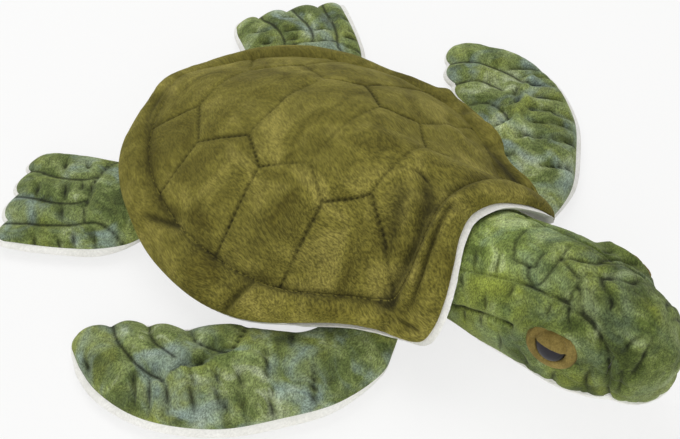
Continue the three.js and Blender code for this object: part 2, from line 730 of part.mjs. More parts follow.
const rearFlipper = {
  sides: outlineSides(rearOutlineShares, rearSpread, rearReach, rearRootLength),
  reach: rearReach,
  rootLength: rearRootLength,
  swell: rearSwell,
  tipDrop: rearTipDrop,
  us: rowsBetween(rearNotchShares, rearLobeColumns),
  padUs: rowsBetween(rearNotchShares, rearPadLobeColumns),
  vs: [...rootShares, ...steps(rearRows)],
  lobe: (u, v) => ({ swell: lobeSwell(u, rearNotchShares), inside: true, depth: v }),
  bulgeWay: () => vector(0, 1, 0),
};

// Both sides of a flipper's outline as curves from its root's line, X along that line and Y out from it
function outlineSides(rows, alongSize, outSize, rootLength) {
  return [0, 2].map((column) => {
    const root = vector((column ? -rootLength : rootLength) / 2, 0, 0);
    return new THREE.CatmullRomCurve3([
      root,
      ...rows.map((row) => vector(row[column] * alongSize, row[column + 1] * outSize, 0)),
    ]);
  });
}

// Point of a flipper's skin. u runs from its leading side to the other, v from the inner side of its rounded
// root, -1, over the root's axis, 0, to its far edge, 1. up is 1 for the upper side and -1 for the underside.
function flipperPoint(shape, u, v, planInset, heightInset, up, lift) {
  const along = Math.max(v, 0) * (1 - planInset / shape.reach);
  const [lead, trail] = shape.sides.map((side) => side.getPoint(along));
  const margin = planInset / lead.distanceTo(trail);
  const { swell, inside, depth } = shape.lobe(u, v);
  const bulge = lobeBulge * swell * Math.max(depth - planInset / shape.reach, 0) ** lobePower;
  const at = lead.clone().lerp(trail, THREE.MathUtils.lerp(margin, 1 - margin, u));
  at.addScaledVector(shape.bulgeWay(lead, trail), bulge);
  const turn = ((1 + Math.min(v, 0)) * Math.PI) / 2;
  at.y -= (rootRadius - planInset) * Math.cos(turn);
  const rise = v < 0 ? rootRadius : fullness(shape, v);
  const [widthPower, closePower] = up > 0 ? upperSwellPowers : underSwellPowers;
  const round = (1 - Math.abs(2 * u - 1) ** widthPower) ** closePower * Math.sin(turn);
  const channel = inside && up > 0 ? channelDepth * (1 - swell) * Math.max(depth - channelStartShare, 0) : 0;
  const height = Math.max(rise - heightInset - channel, 0) * round;
  const floor = flipperFloorGap + heightInset - hingeHeight;
  const middle = -shape.tipDrop * Math.max(v, 0);
  return at.setZ(up > 0 ? middle + height + lift : Math.max(middle - height - lift, floor));
}

// Half thickness of a flipper: the root's radius, then the swell, then down to the tip and round its far edge
function fullness(shape, v) {
  const toSwell = Math.sin((Math.min(v / swellPlaceShare, 1) * Math.PI) / 2);
  const toTip = Math.max(v - swellPlaceShare, 0) / (1 - swellPlaceShare);
  const body = THREE.MathUtils.lerp(rootRadius, shape.swell, toSwell);
  return body * THREE.MathUtils.lerp(1, tipFullnessShare, toTip) * Math.sqrt(1 - v ** tipSwellPower);
}

// Upper panel, underside panel and stuffing of one flipper, in the frame of its root's line. side is 1 on the
// left and -1 on the right.
function flipperPieces(shape, side) {
  const surface = (planInset, heightInset, up, lift) => (u, v) => {
    const at = flipperPoint(shape, u, v, planInset, heightInset, up, lift);
    return vector(at.x, side * at.y, at.z);
  };
  const panel = (up) => layer(
    surface(0, 0, up, seamGap / 2 + flipperEdge),
    surface(fabricThickness, fabricThickness, up, seamGap / 2),
    shape.us,
    shape.vs,
  );
  const inner = fabricThickness + padRoom;
  const pad = (up) => surface(inner + stuffingInset, inner + edgeBand / 2, up, edgeBand / 2);
  return [panel(1), panel(-1), layer(pad(1), pad(-1), shape.padUs, shape.vs)];
}

function flipperGroup(name, shape, side, [rootShare, outset, degrees]) {
  const group = new THREE.Group();
  const angle = THREE.MathUtils.degToRad(degrees);
  const groove = grooveRing.getPoint(rootShare);
  const out = vector(Math.sin(angle), Math.cos(angle), 0);
  group.position.set(groove.x + outset * out.x, side * (groove.y + outset * out.y), hingeHeight);
  group.rotation.z = -side * angle;
  const [upper, underside, stuffing] = flipperPieces(shape, side);
  group.add(
    namedMesh(`${name}_upper`, upper, mottledMinky),
    namedMesh(`${name}_underside`, underside, whiteMinky),
    namedMesh(`${name}_stuffing`, stuffing, fibreFill),
  );
  group.updateMatrixWorld(true);
  return group;
}

// Round seat in the body for a flipper's root, in the frame of the whole toy
function socketFor(group, shape) {
  const radius = rootRadius + socketClearance;
  return new THREE.CylinderGeometry(radius, radius, shape.rootLength + 2 * socketClearance, seatColumns)
    .rotateZ(Math.PI / 2)
    .applyMatrix4(group.matrixWorld);
}

function eyeMeshes(sideName, side) {
  const frame = eyeFrame(side);
  const headAt = (lift) => headCore(-lift, cutterColumns).applyMatrix4(frame.clone().invert());
  const group = new THREE.Group();
  group.applyMatrix4(frame);
  group.add(
    namedMesh(`eye_${sideName}`, plasticEye(), darkPlastic),
    namedMesh(`eye_ring_${sideName}`, feltRing(headAt), oliveFelt),
    namedMesh(`eyelid_${sideName}`, eyelid(headAt), oliveFelt),
    namedMesh(`eye_washer_${sideName}`, eyeWasher(), washerPlastic),
  );
  return group;
}

function buildTurtle() {
  const turtle = new THREE.Group();
  const sides = [["left", 1], ["right", -1]];
  const kinds = [
    ["front", frontFlipper, [frontRootShare, frontRootOutset, frontRootDegrees]],
    ["rear", rearFlipper, [rearRootShare, rearRootOutset, rearRootDegrees]],
  ];
  const sockets = [];
  for (const [sideName, side] of sides) {
    for (const [kindName, shape, place] of kinds) {
      const group = flipperGroup(`${kindName}_flipper_${sideName}`, shape, side, place);
      sockets.push(socketFor(group, shape));
      turtle.add(group);
    }
  }
  turtle.add(
    namedMesh("shell_cover", shellCover(), oliveMinky),
    namedMesh("shell_skirt", shellSkirt(), oliveMinky),
    namedMesh("shell_lining", shellLining(), whiteMinky),
    namedMesh("belly_panel", bellyPanel(sockets), whiteMinky),
    namedMesh("body_stuffing", bodyStuffing(sockets), fibreFill),
    namedMesh("neck_root", neckBall(0), fibreFill),
  );

  const depth = shankLength + seamGap + cutOverrun;
  const drill = (radius) => eyePeg(radius + seamGap, depth).translate(0, 0, cutOverrun);
  const drilled = (radius) => sides.map(([, side]) => drill(radius).applyMatrix4(eyeFrame(side)));
  const pegHoles = drilled(shankRadius);
  const core = headCore(fabricThickness + headPadRoom, headColumns);
  const chin = headPanel(() => [chinSeamDegrees, 360 - chinSeamDegrees], chinColumns);
  turtle.add(
    namedMesh("head_crown", headPanel(([, , , crown]) => [-crown, crown], crownColumns), mottledMinky),
    namedMesh("chin_panel", chin, whiteMinky),
    namedMesh("muzzle_panel", muzzlePanel(), mottledMinky),
    namedMesh("head_stuffing", cutAway(core, neckBall(seamGap), ...drilled(washerRadius)), fibreFill),
  );
  sides.forEach(([sideName, side], k) => {
    const sided = (from, to) => (side > 0 ? [from, to] : [-to, -from]);
    const neckSide = headPanel(([, , , crown, low]) => sided(crown, low), sideColumns, [pegHoles[k]]);
    const cheek = headPanel(([, , , , low]) => sided(low, chinSeamDegrees), sideColumns, [pegHoles[k]]);
    turtle.add(
      namedMesh(`neck_side_${sideName}`, neckSide, mottledMinky),
      namedMesh(`cheek_${sideName}`, cheek, mottledMinky),
      eyeMeshes(sideName, side),
    );
  });
  return turtle;
}

const turtle = buildTurtle();
turtle.updateMatrixWorld(true);
const extent = new THREE.Box3().setFromObject(turtle, true);
turtle.position.set(-(extent.min.x + extent.max.x) / 2, -(extent.min.y + extent.max.y) / 2, -extent.min.z);
const toy = new THREE.Group();
toy.add(turtle);

export default toy;
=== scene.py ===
import json
import math
import bmesh
import bpy
import numpy as np
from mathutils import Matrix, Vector


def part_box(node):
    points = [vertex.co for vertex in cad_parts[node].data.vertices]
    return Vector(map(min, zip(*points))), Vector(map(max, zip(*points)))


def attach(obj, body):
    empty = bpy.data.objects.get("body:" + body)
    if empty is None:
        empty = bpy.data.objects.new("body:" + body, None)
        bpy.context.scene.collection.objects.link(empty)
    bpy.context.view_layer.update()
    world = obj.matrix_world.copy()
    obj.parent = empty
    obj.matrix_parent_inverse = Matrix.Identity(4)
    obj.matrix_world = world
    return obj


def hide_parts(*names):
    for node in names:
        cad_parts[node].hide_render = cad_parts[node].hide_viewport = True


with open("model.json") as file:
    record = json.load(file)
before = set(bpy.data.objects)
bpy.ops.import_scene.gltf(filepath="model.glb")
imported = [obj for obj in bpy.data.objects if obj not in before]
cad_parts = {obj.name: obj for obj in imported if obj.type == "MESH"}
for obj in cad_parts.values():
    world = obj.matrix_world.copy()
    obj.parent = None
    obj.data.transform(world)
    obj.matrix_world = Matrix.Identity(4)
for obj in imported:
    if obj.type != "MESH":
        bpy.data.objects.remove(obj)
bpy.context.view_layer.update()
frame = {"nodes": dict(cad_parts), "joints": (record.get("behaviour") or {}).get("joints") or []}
print("frame loaded:", len(frame["nodes"]), "nodes")

# A plush sea turtle. Shapes are worked out in millimetres in the toy's building frame, whose origin lies on
# the floor under the middle of the shell, and go into their meshes in metres, in the frame of the packed
# model.


# Smooth step from 0 to 1 while x goes from a to b: 3t² - 2t³
def smooth(x, a, b):
    t = np.clip((x - a) / (b - a), 0, 1)
    return t * t * (3 - 2 * t)


# Bell curve of a distance: e^(-(distance/width)²)
def bell(distance, width):
    return np.exp(-((distance / width) ** 2))


# Strength of a line along its run: half a sine wave with that share cut off at both ends, to a power
def endFade(run, length, cut, power=1):
    return np.sin(math.pi * (cut + (1 - 2 * cut) * run / length)) ** power


# Rounded edge: a quarter of a circle that climbs from 0 to 1 while x goes from 0 to 1
def quarterRound(x):
    return np.sqrt(1 - (1 - np.clip(x, 0, 1)) ** 2)


# Grid of two parameters from 0 to 1. Round a ring, the first one ends a step short of 1.
def gridOf(columns, rows, ring=False):
    across = np.arange(columns) / columns if ring else np.linspace(0, 1, columns)
    return np.meshgrid(across, np.linspace(0, 1, rows), indexing="ij")


# Smooth curve through points, at places t from 0 to 1: cubic pieces whose knots are spaced by the square
# root of the distance between the points
def curveThrough(points, t, closed=False):
    points = np.asarray(points, float)
    spans = len(points) if closed else len(points) - 1
    at = (np.mod(t, 1) if closed else np.clip(t, 0, 1)) * spans
    first = np.minimum(np.floor(at).astype(int), spans - 1)
    w = (at - first)[..., None]
    if closed:
        padded = points[np.arange(-1, len(points) + 2) % len(points)]
    else:
        padded = np.vstack([2 * points[0] - points[1], points, 2 * points[-1] - points[-2]])
    p0, p1, p2, p3 = (padded[first + k] for k in range(4))
    pairs = ((p0, p1), (p1, p2), (p2, p3))
    d0, d1, d2 = (np.linalg.norm(b - a, axis=-1, keepdims=True) ** 0.5 for a, b in pairs)
    t1 = ((p1 - p0) / d0 - (p2 - p0) / (d0 + d1) + (p2 - p1) / d1) * d1
    t2 = ((p2 - p1) / d1 - (p3 - p1) / (d1 + d2) + (p3 - p2) / d2) * d1
    return p1 + t1 * w + (3 * (p2 - p1) - 2 * t1 - t2) * w**2 + (2 * (p1 - p2) + t1 + t2) * w**3


# A table read as smooth curves of its first column: cubic pieces, with the mean of the slopes beside each
# row
def readTable(table, x):
    rows = np.asarray(table, float)
    at, values = rows[:, 0], rows[:, 1:]
    secants = np.diff(values, axis=0) / np.diff(at)[:, None]
    slopes = np.vstack([secants[:1], (secants[1:] + secants[:-1]) / 2, secants[-1:]])
    x = np.clip(x, at[0], at[-1])
    k = np.clip(np.searchsorted(at, x, side="right") - 1, 0, len(at) - 2)
    span = (at[k + 1] - at[k])[..., None]
    p = (x - at[k])[..., None] / span
    rise = values[k + 1] - values[k]
    return (
        values[k]
        + slopes[k] * span * p
        + (3 * rise - (2 * slopes[k] + slopes[k + 1]) * span) * p**2
        + ((slopes[k] + slopes[k + 1]) * span - 2 * rise) * p**3
    )


# Random numbers from -1 to 1 for whole-number cells: products with large primes, mixed by shifts
def cellValue(cell, seed):
    keys = np.array([73856093, 19349663, 83492791])[: cell.shape[-1]]
    mixed = (cell.astype(np.int64) @ keys + 1013904223 * (seed + 1)) & 0x7FFFFFFF
    mixed = ((mixed ^ (mixed >> 13)) * 1274126177) & 0x7FFFFFFF
    mixed = ((mixed ^ (mixed >> 11)) * 668265263) & 0x7FFFFFFF
    return (mixed >> 7) % 4096 / 2047.5 - 1


gridOffset = 101.3  # cells by which noise is moved, so that no corner falls on the middle of the toy
cellOffset = 51.7
cellJitter = 0.36  # how far a cell's middle strays from its square's, as a share of the square


# Smooth noise from -1 to 1: random values at the corners of cells of that size, blended by 3t² - 2t³
def noise(points, size, seed=0):
    at = points / size + gridOffset
    cell = np.floor(at)
    part = at - cell
    part = part * part * (3 - 2 * part)
    total = np.zeros(points.shape[:-1])
    for corner in np.ndindex(*(2,) * points.shape[-1]):
        weight = np.prod(np.where(corner, part, 1 - part), axis=-1)
        total += weight * cellValue(cell + corner, seed)
    return total


# Irregular cells, one random middle in each square of that size: how many mm a point lies inside its cell's
# border, which is half the difference between its distances to the two nearest middles
def cellInside(points, size, seed=0):
    at = points / size + cellOffset
    cell = np.floor(at)
    nearest = np.full(points.shape[:-1], 9.0)
    second = nearest.copy()
    for corner in np.ndindex(*(3,) * points.shape[-1]):
        neighbour = cell + np.array(corner) - 1
        jitter = [cellJitter * cellValue(neighbour, seed + 7 * axis) for axis in range(points.shape[-1])]
        distance = np.linalg.norm(at - neighbour - 0.5 - np.stack(jitter, -1), axis=-1)
        second = np.minimum(second, np.maximum(nearest, distance))
        nearest = np.minimum(nearest, distance)
    return (second - nearest) * size / 2


# Distance from points to a run of straight pieces, how far along the run the nearest place lies, and the
# run's length
def distanceToLine(points, line):
    best = np.full(points.shape[:-1], 1e6)
    run = np.zeros(points.shape[:-1])
    start = 0.0
    for a, b in zip(line[:-1], line[1:]):
        step = b - a
        length = max(np.linalg.norm(step), 1e-6)
        share = np.clip((points - a) @ step / length**2, 0, 1)
        distance = np.linalg.norm(points - a - share[..., None] * step, axis=-1)
        closer = distance < best
        best = np.where(closer, distance, best)
        run = np.where(closer, start + share * length, run)
        start += length
    return best, run, start


# Normals of a grid of points: cross product of its two differences, turned away from a centre
def normalsOf(grid, centre, loop=False):
    if loop:
        du = np.roll(grid, -1, 0) - np.roll(grid, 1, 0)
    else:
        du = np.gradient(grid, axis=0)
    across = np.cross(du, np.gradient(grid, axis=1))
    size = np.linalg.norm(across, axis=-1, keepdims=True)
    away = grid - centre
    away /= np.linalg.norm(away, axis=-1, keepdims=True) + 1e-9
    normals = np.where(size > 1e-6, across / np.maximum(size, 1e-6), away)
    return normals * np.sign(np.sum(normals * away) + 1e-9)


pileLumps = ((21, 0.7), (9, 0.3))  # mm across the filling's lumps, and the share of each size
pileTufts = ((2.3, 0.6), (4.1, 0.4))  # the same for tufts of pile


# Puff and wear that every pile fabric has: noise in the sizes of slow lumps of its filling and of tufts of
# its pile
def fabricRelief(points, seed, lump=0.9, tuft=0.2):
    slow = sum(share * noise(points, size, seed + k) for k, (size, share) in enumerate(pileLumps))
    fine = sum(share * noise(points, size, seed + 2 + k) for k, (size, share) in enumerate(pileTufts))
    return lump * slow + tuft * fine


sideNames = {1: "Left", -1: "Right"}
mergeGap = 2e-6  # m between points that are one
sharpAngle = 65  # degrees between faces from which their edge isn't shaded smooth


# Adds an object with its data to the scene
def addObject(name, data):
    made = bpy.data.objects.new(name, data)
    bpy.context.scene.collection.objects.link(made)
    return made


# Closed mesh piece between an outer and an inner grid of points, with a rim where the grids end. loop joins
# the last column to the first. values are the piece's point attributes on the outer grid. Points go from mm
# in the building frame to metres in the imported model's, which lies collarShift along x from it.
def makePiece(name, outer, inner, loop=False, values=None):
    columns, rows = outer.shape[:2]
    count = columns * rows
    index = np.arange(count).reshape(columns, rows)
    if loop:
        index = np.vstack([index, index[:1]])
    quads = np.stack([index[:-1, :-1], index[1:, :-1], index[1:, 1:], index[:-1, 1:]], -1).reshape(-1, 4)
    faces = [quads, quads[:, ::-1] + count]
    edges = [index[:, -1], index[::-1, 0]]
    if not loop:
        edges += [index[0, :], index[-1, ::-1]]
    for edge in edges:
        faces.append(np.stack([edge[:-1], edge[1:], edge[1:] + count, edge[:-1] + count], -1))
    places = np.concatenate([outer.reshape(-1, 3), inner.reshape(-1, 3)]) + [collarShift, 0, 0]
    mesh = bpy.data.meshes.new(name)
    mesh.from_pydata((places / 1000).tolist(), [], np.concatenate(faces).tolist())
    for key, value in (values or {}).items():
        attribute = mesh.attributes.new(key, "FLOAT", "POINT")
        both = np.concatenate([value.ravel(), np.zeros(count)]).astype(np.float32)
        attribute.data.foreach_set("value", both)
    return finishMesh(name, mesh)


# Doubles at poles and rims are merged, faces turned outwards and shaded smooth
def finishMesh(name, mesh):
    work = bmesh.new()
    work.from_mesh(mesh)
    bmesh.ops.remove_doubles(work, verts=work.verts, dist=mergeGap)
    bmesh.ops.dissolve_degenerate(work, edges=work.edges, dist=1e-7)
    bmesh.ops.recalc_face_normals(work, faces=work.faces)
    work.to_mesh(mesh)
    work.free()
    mesh.shade_smooth()
    mesh.set_sharp_from_angle(angle=math.radians(sharpAngle))
    return addObject(name, mesh)


# Gives a piece its material, its body and the nodes that it stands for
def dressPiece(piece, material, slot, body, nodes):
    piece.data.materials.append(material)
    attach(piece, body)
    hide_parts(*nodes)


# Camera

cameraView = {
    "azimuth": 41.8,  # degrees to the turtle's right of straight ahead
    "elevation": 45.8,
    "distance": 0.9,
    "target": (-0.0437, 0.007, 0),
    "lens": 75.8, "sensor": 36,  # mm
    "shift": (0.0118, -0.0199),
}


# Puts a camera or a lamp at a place and turns it to look along a direction
def aim(stand, at, direction):
    stand.location = at
    stand.rotation_mode = "QUATERNION"
    stand.rotation_quaternion = direction.to_track_quat("-Z", "Y")


# Camera on a ball round its target: back is (cos e·sin a, -cos e·cos a, sin e)
def makeCamera(values):
    camera = bpy.data.cameras.new("photoCamera")
    camera.lens = values["lens"]
    camera.sensor_width = values["sensor"]
    camera.shift_x, camera.shift_y = values["shift"]
    azimuth, elevation = math.radians(values["azimuth"]), math.radians(values["elevation"])
    level = math.cos(elevation)
    back = Vector((math.sin(azimuth) * level, -math.cos(azimuth) * level, math.sin(elevation)))
    stand = addObject("photoCamera", camera)
    aim(stand, Vector(values["target"]) + back * values["distance"], -back)
    bpy.context.scene.camera = stand


makeCamera(cameraView)


# Materials

# sRGB hex to linear colour
def colour(hexValue):
    parts = [int(hexValue[k:k + 2], 16) / 255 for k in (1, 3, 5)]
    return [p / 12.92 if p <= 0.04045 else ((p + 0.055) / 1.055) ** 2.4 for p in parts] + [1]


# Adds a node with its settings, which are its properties or its inputs' values, and its links by input. In a
# Mix node input 0 is the factor, 2 and 3 are its numbers, 6 and 7 its colours.
def addNode(tree, kind, settings=None, links=None):
    node = tree.nodes.new(kind)
    for key, value in (settings or {}).items():
        if key == "stops":
            ramp = node.color_ramp
            while len(ramp.elements) < len(value):
                ramp.elements.new(1)
            for element, (position, shade) in zip(ramp.elements, value):
                element.position = position
                element.color = colour(shade)
        elif isinstance(key, str) and hasattr(node, key):
            setattr(node, key, value)
        else:
            node.inputs[key].default_value = value
    for key, source in (links or {}).items():
        tree.links.new(source, node.inputs[key])
    return node


def newMaterial(name):
    material = bpy.data.materials.new(name)
    material.use_nodes = True
    tree = material.node_tree
    tree.nodes.clear()
    return material, tree


perMm = 1000  # patterns read object coordinates in metres, so one of s mm has the scale perMm / s


# Pile fabric: short strokes of pile that lean one way and wander, slow patches where it is brushed the other
# way, painted shade in creases, seams and hollows, painted light and shade over whole regions, and a soft
# sheen.
# The colour is multiplied by 1 + stand·(tips - 1), where stand follows the attribute ruffle, by nap·(1 + the
# attribute of painted light and shade), and by creaseShade as far as the attribute of painted shade says.
def pileShader(tree, base, values):
    coordinates = addNode(tree, "ShaderNodeTexCoord").outputs["Object"]
    wander = addNode(
        tree, "ShaderNodeTexNoise", {"Scale": perMm / values["wander"], "Detail": 1}, {"Vector": coordinates},
    )
    bent = addNode(
        tree, "ShaderNodeVectorMath", {"operation": "MULTIPLY_ADD", 1: [values["bend"] / perMm] * 3},
        {0: wander.outputs["Color"], 2: coordinates},
    )
    lay = addNode(
        tree, "ShaderNodeMapping",
        {"vector_type": "TEXTURE", "Scale": values["stroke"], "Rotation": values["turn"]},
        {"Vector": bent.outputs[0]},
    )
    fibre = addNode(
        tree, "ShaderNodeTexNoise", {"Scale": perMm / values["fibre"], "Detail": 2, "Roughness": 0.6},
        {"Vector": lay.outputs[0]},
    )
    brushed = addNode(
        tree, "ShaderNodeTexNoise",
        {"Scale": perMm / values["brushed"], "Detail": 2.5, "Roughness": 0.55, "Distortion": 0.6},
        {"Vector": coordinates},
    )
    tips = addNode(
        tree, "ShaderNodeMapRange",
        {"From Min": 0.36, "From Max": 0.68, "To Min": values["tipDark"], "To Max": values["tipLight"]},
        {"Value": fibre.outputs["Fac"]},
    )
    ruffle = addNode(tree, "ShaderNodeAttribute", {"attribute_name": "ruffle"})
    stand = addNode(
        tree, "ShaderNodeMapRange", {"To Min": values["calm"], "To Max": values["ruffled"]},
        {"Value": ruffle.outputs["Fac"]},
    )
    standing = addNode(
        tree, "ShaderNodeMix", {"data_type": "FLOAT", "clamp_factor": False, 2: 1},
        {0: stand.outputs[0], 3: tips.outputs[0]},
    )
    nap = addNode(
        tree, "ShaderNodeMapRange",
        {"From Min": 0.3, "From Max": 0.7, "To Min": values["napDark"], "To Max": values["napLight"]},
        {"Value": brushed.outputs["Fac"]},
    )
    # painted light and shade: regions painted lighter or darker for how the light falls on them
    tone = addNode(tree, "ShaderNodeAttribute", {"attribute_name": "tone"})
    napAndPaintedLight = addNode(
        tree, "ShaderNodeMath", {"operation": "MULTIPLY_ADD"},
        {0: nap.outputs[0], 1: tone.outputs["Fac"], 2: nap.outputs[0]},
    )
    shade = addNode(
        tree, "ShaderNodeMath", {"operation": "MULTIPLY"}, {0: standing.outputs[0], 1: napAndPaintedLight.outputs[0]},
    )
    # painted shade: darker in creases, seams, hollows and the groove, where shade falls
    crease = addNode(tree, "ShaderNodeAttribute", {"attribute_name": "crease"})
    darkening = addNode(
        tree, "ShaderNodeMapRange", {"To Min": 1, "To Max": values["creaseShade"]},
        {"Value": crease.outputs["Fac"]},
    )
    total = addNode(
        tree, "ShaderNodeMath", {"operation": "MULTIPLY"}, {0: shade.outputs[0], 1: darkening.outputs[0]},
    )
    toned = addNode(
        tree, "ShaderNodeVectorMath", {"operation": "SCALE"}, {0: base, "Scale": total.outputs[0]},
    )
    bump = addNode(
        tree, "ShaderNodeBump", {"Strength": values["bump"], "Distance": values["pile"] / perMm},
        {"Height": fibre.outputs["Fac"]},
    )
    shader = addNode(
        tree, "ShaderNodeBsdfPrincipled",
        {
            "Roughness": values["roughness"],
            "Specular IOR Level": 0.2,
            "Sheen Weight": values["sheen"],
            "Sheen Roughness": values["sheenRoughness"],
            "Sheen Tint": colour(values["sheenTint"]),
        },
        {"Base Color": toned.outputs[0], "Normal": bump.outputs[0]},
    )
    addNode(tree, "ShaderNodeOutputMaterial", links={"Surface": shader.outputs[0]})


# Polyester minky, knitted and brushed: short dense pile that shows light and dark where it leans. Sizes are
# in mm.
oliveMinkyLook = {
    "deep": "#544E1B", "middle": "#6F692C", "light": "#877F3E",
    "patch": 34,  # across the patches where the pile leans one way
    "fibre": 1.1,  # across a tuft; the real fibres are finer than the render shows
    "stroke": (3.2, 1, 1), "turn": (0, 0, -0.35),  # how much longer than wide a stroke is, and its way
    "wander": 45, "bend": 18,  # the strokes' way wanders over this length by this much
    "brushed": 12,
    "tipDark": 0.72, "tipLight": 1.46, "napDark": 0.84, "napLight": 1.14, "creaseShade": 0.16,
    "calm": 0.7, "ruffled": 1.4,  # how much the strokes show where the pile lies flat and where it is ruffled
    "bump": 0.5, "pile": 1.0,
    "roughness": 0.9, "sheen": 0.18, "sheenRoughness": 0.45, "sheenTint": "#A89E52",
}


# Colour: three olives by a slow noise
def makeOliveMinky(values):
    material, tree = newMaterial("oliveMinky")
    coordinates = addNode(tree, "ShaderNodeTexCoord").outputs["Object"]
    patches = addNode(
        tree, "ShaderNodeTexNoise",
        {"Scale": perMm / values["patch"], "Detail": 3, "Roughness": 0.6, "Distortion": 0.8},
        {"Vector": coordinates},
    )
    ramp = addNode(
        tree, "ShaderNodeValToRGB",
        {"stops": [(0.32, values["deep"]), (0.5, values["middle"]), (0.68, values["light"])]},
        {"Fac": patches.outputs["Fac"]},
    )
    pileShader(tree, ramp.outputs["Color"], values)
    return material


# Polyester minky dyed in folds: greens, yellow-green and blue-grey run into each other
mottledMinkyLook = {
    "greens": [(0.3, "#444E2B"), (0.44, "#606E3B"), (0.56, "#839058"), (0.7, "#B2BC98")],
    "greenPatch": 24,
    "yellow": "#929A48", "yellowPatch": 36, "yellowFrom": 0.46, "yellowTo": 0.72,
    "blue": "#8FA2A0", "bluePatch": 30, "blueFrom": 0.44, "blueTo": 0.72,
    "patchShare": 0.68,
    "headBlue": 0.35, "headTint": "#EAEED0",  # head and neck are cut from a greener length of the cloth
    "fibre": 0.8, "stroke": (1, 2.1, 1), "turn": (0, 0, 0.35), "wander": 12, "bend": 6,
    "brushed": 9,
    "tipDark": 0.56, "tipLight": 1.56, "napDark": 0.8, "napLight": 1.18, "creaseShade": 0.12,
    "calm": 0.9, "ruffled": 1.3,
    "bump": 0.55, "pile": 0.9,
    "roughness": 0.92, "sheen": 0.25, "sheenRoughness": 0.5, "sheenTint": "#C4CDA8",
}


# Colour: greens by a slow noise, then patches of yellow-green and of blue-grey laid over them by noises of
# their own. The attribute greener, 1 on head and neck, thins the blue ones and tints it all.
def makeMottledMinky(values):
    material, tree = newMaterial("mottledMinky")
    coordinates = addNode(tree, "ShaderNodeTexCoord").outputs["Object"]
    greens = addNode(
        tree, "ShaderNodeTexNoise",
        {"Scale": perMm / values["greenPatch"], "Detail": 4, "Roughness": 0.62, "Distortion": 0.7},
        {"Vector": coordinates},
    )
    ramp = addNode(tree, "ShaderNodeValToRGB", {"stops": values["greens"]}, {"Fac": greens.outputs["Fac"]})
    dyed = ramp.outputs["Color"]
    greener = addNode(tree, "ShaderNodeAttribute", {"attribute_name": "greener"})
    blueShare = addNode(
        tree, "ShaderNodeMapRange", {"To Min": values["patchShare"], "To Max": values["headBlue"]},
        {"Value": greener.outputs["Fac"]},
    )
    for offset, key in ((0.31, "yellow"), (0.77, "blue")):  # metres between the two patterns' starts
        moved = addNode(
            tree, "ShaderNodeMapping", {"Location": (offset, offset / 2, -offset)}, {"Vector": coordinates},
        )
        patch = addNode(
            tree, "ShaderNodeTexNoise",
            {"Scale": perMm / values[key + "Patch"], "Detail": 3, "Roughness": 0.55, "Distortion": 0.9},
            {"Vector": moved.outputs[0]},
        )
        mask = addNode(
            tree, "ShaderNodeMapRange",
            {
                "interpolation_type": "SMOOTHSTEP",
                "From Min": values[key + "From"], "From Max": values[key + "To"],
                "To Max": values["patchShare"],
            },
            {"Value": patch.outputs["Fac"]},
        )
        if key == "blue":
            tree.links.new(blueShare.outputs[0], mask.inputs["To Max"])
        mix = addNode(
            tree, "ShaderNodeMix", {"data_type": "RGBA", 7: colour(values[key])},
            {0: mask.outputs[0], 6: dyed},
        )
        dyed = mix.outputs[2]
    tint = addNode(
        tree, "ShaderNodeMix", {"data_type": "RGBA", "blend_type": "MULTIPLY", 7: colour(values["headTint"])},
        {0: greener.outputs["Fac"], 6: dyed},
    )
    pileShader(tree, tint.outputs[2], values)
    return material


# Polyester minky left white, a little longer in the pile
whiteMinkyLook = {
    "colour": "#F7F6F1", "shadow": "#EFEEE7", "patch": 18,
    "calm": 1, "ruffled": 1,
    "fibre": 1.2, "stroke": (1, 1.8, 1), "turn": (0, 0, 0), "wander": 12, "bend": 8,
    "brushed": 10,
    "tipDark": 0.92, "tipLight": 1.05, "napDark": 0.96, "napLight": 1.03, "creaseShade": 0.6,
    "bump": 0.4, "pile": 0.8,
    "roughness": 0.95, "sheen": 0.15, "sheenRoughness": 0.5, "sheenTint": "#FFFFFF",
}

# Acrylic felt, pressed: matt and dense with short loose fibres
oliveFeltLook = {
    "colour": "#897842", "shadow": "#6B5B2C", "patch": 9,
    "calm": 1, "ruffled": 1,
    "fibre": 0.8, "stroke": (1, 1.4, 1), "turn": (0, 0, 0), "wander": 4, "bend": 3,
    "brushed": 4,
    "tipDark": 0.8, "tipLight": 1.2, "napDark": 0.92, "napLight": 1.07, "creaseShade": 0.35,
    "bump": 0.4, "pile": 0.4,
    "roughness": 1.0, "sheen": 0.2, "sheenRoughness": 0.6, "sheenTint": "#B8A878",
}

# Polyester fibre fill, carded: matt white tufts
fibreFillLook = dict(whiteMinkyLook, colour="#F0F0EB", shadow="#E2E2DA", fibre=3, pile=1.5, bump=0.8)


# Colour: one shade that goes a little darker in patches
def makePlainPile(name, values):
    material, tree = newMaterial(name)
    coordinates = addNode(tree, "ShaderNodeTexCoord").outputs["Object"]
    patches = addNode(
        tree, "ShaderNodeTexNoise", {"Scale": perMm / values["patch"], "Detail": 3}, {"Vector": coordinates},
    )
    ramp = addNode(
        tree, "ShaderNodeValToRGB", {"stops": [(0.35, values["shadow"]), (0.65, values["colour"])]},
        {"Fac": patches.outputs["Fac"]},
    )
    pileShader(tree, ramp.outputs["Color"], values)
    return material


# Acrylic eye, moulded and polished: dark, with a soft gloss and a faint haze. Its rim is black.
lensPlasticLook = {
    "low": "#141217", "high": "#1F1C23", "rim": "#080709", "roughness": 0.3, "haze": 0.5, "grain": 5,
}
# Polypropylene washer, moulded: milky and matt, with a fine grain
washerPlasticLook = {
    "low": "#DAD9CF", "high": "#E8E7DE", "rim": "#DAD9CF", "roughness": 0.5, "haze": 0.8, "grain": 2,
}


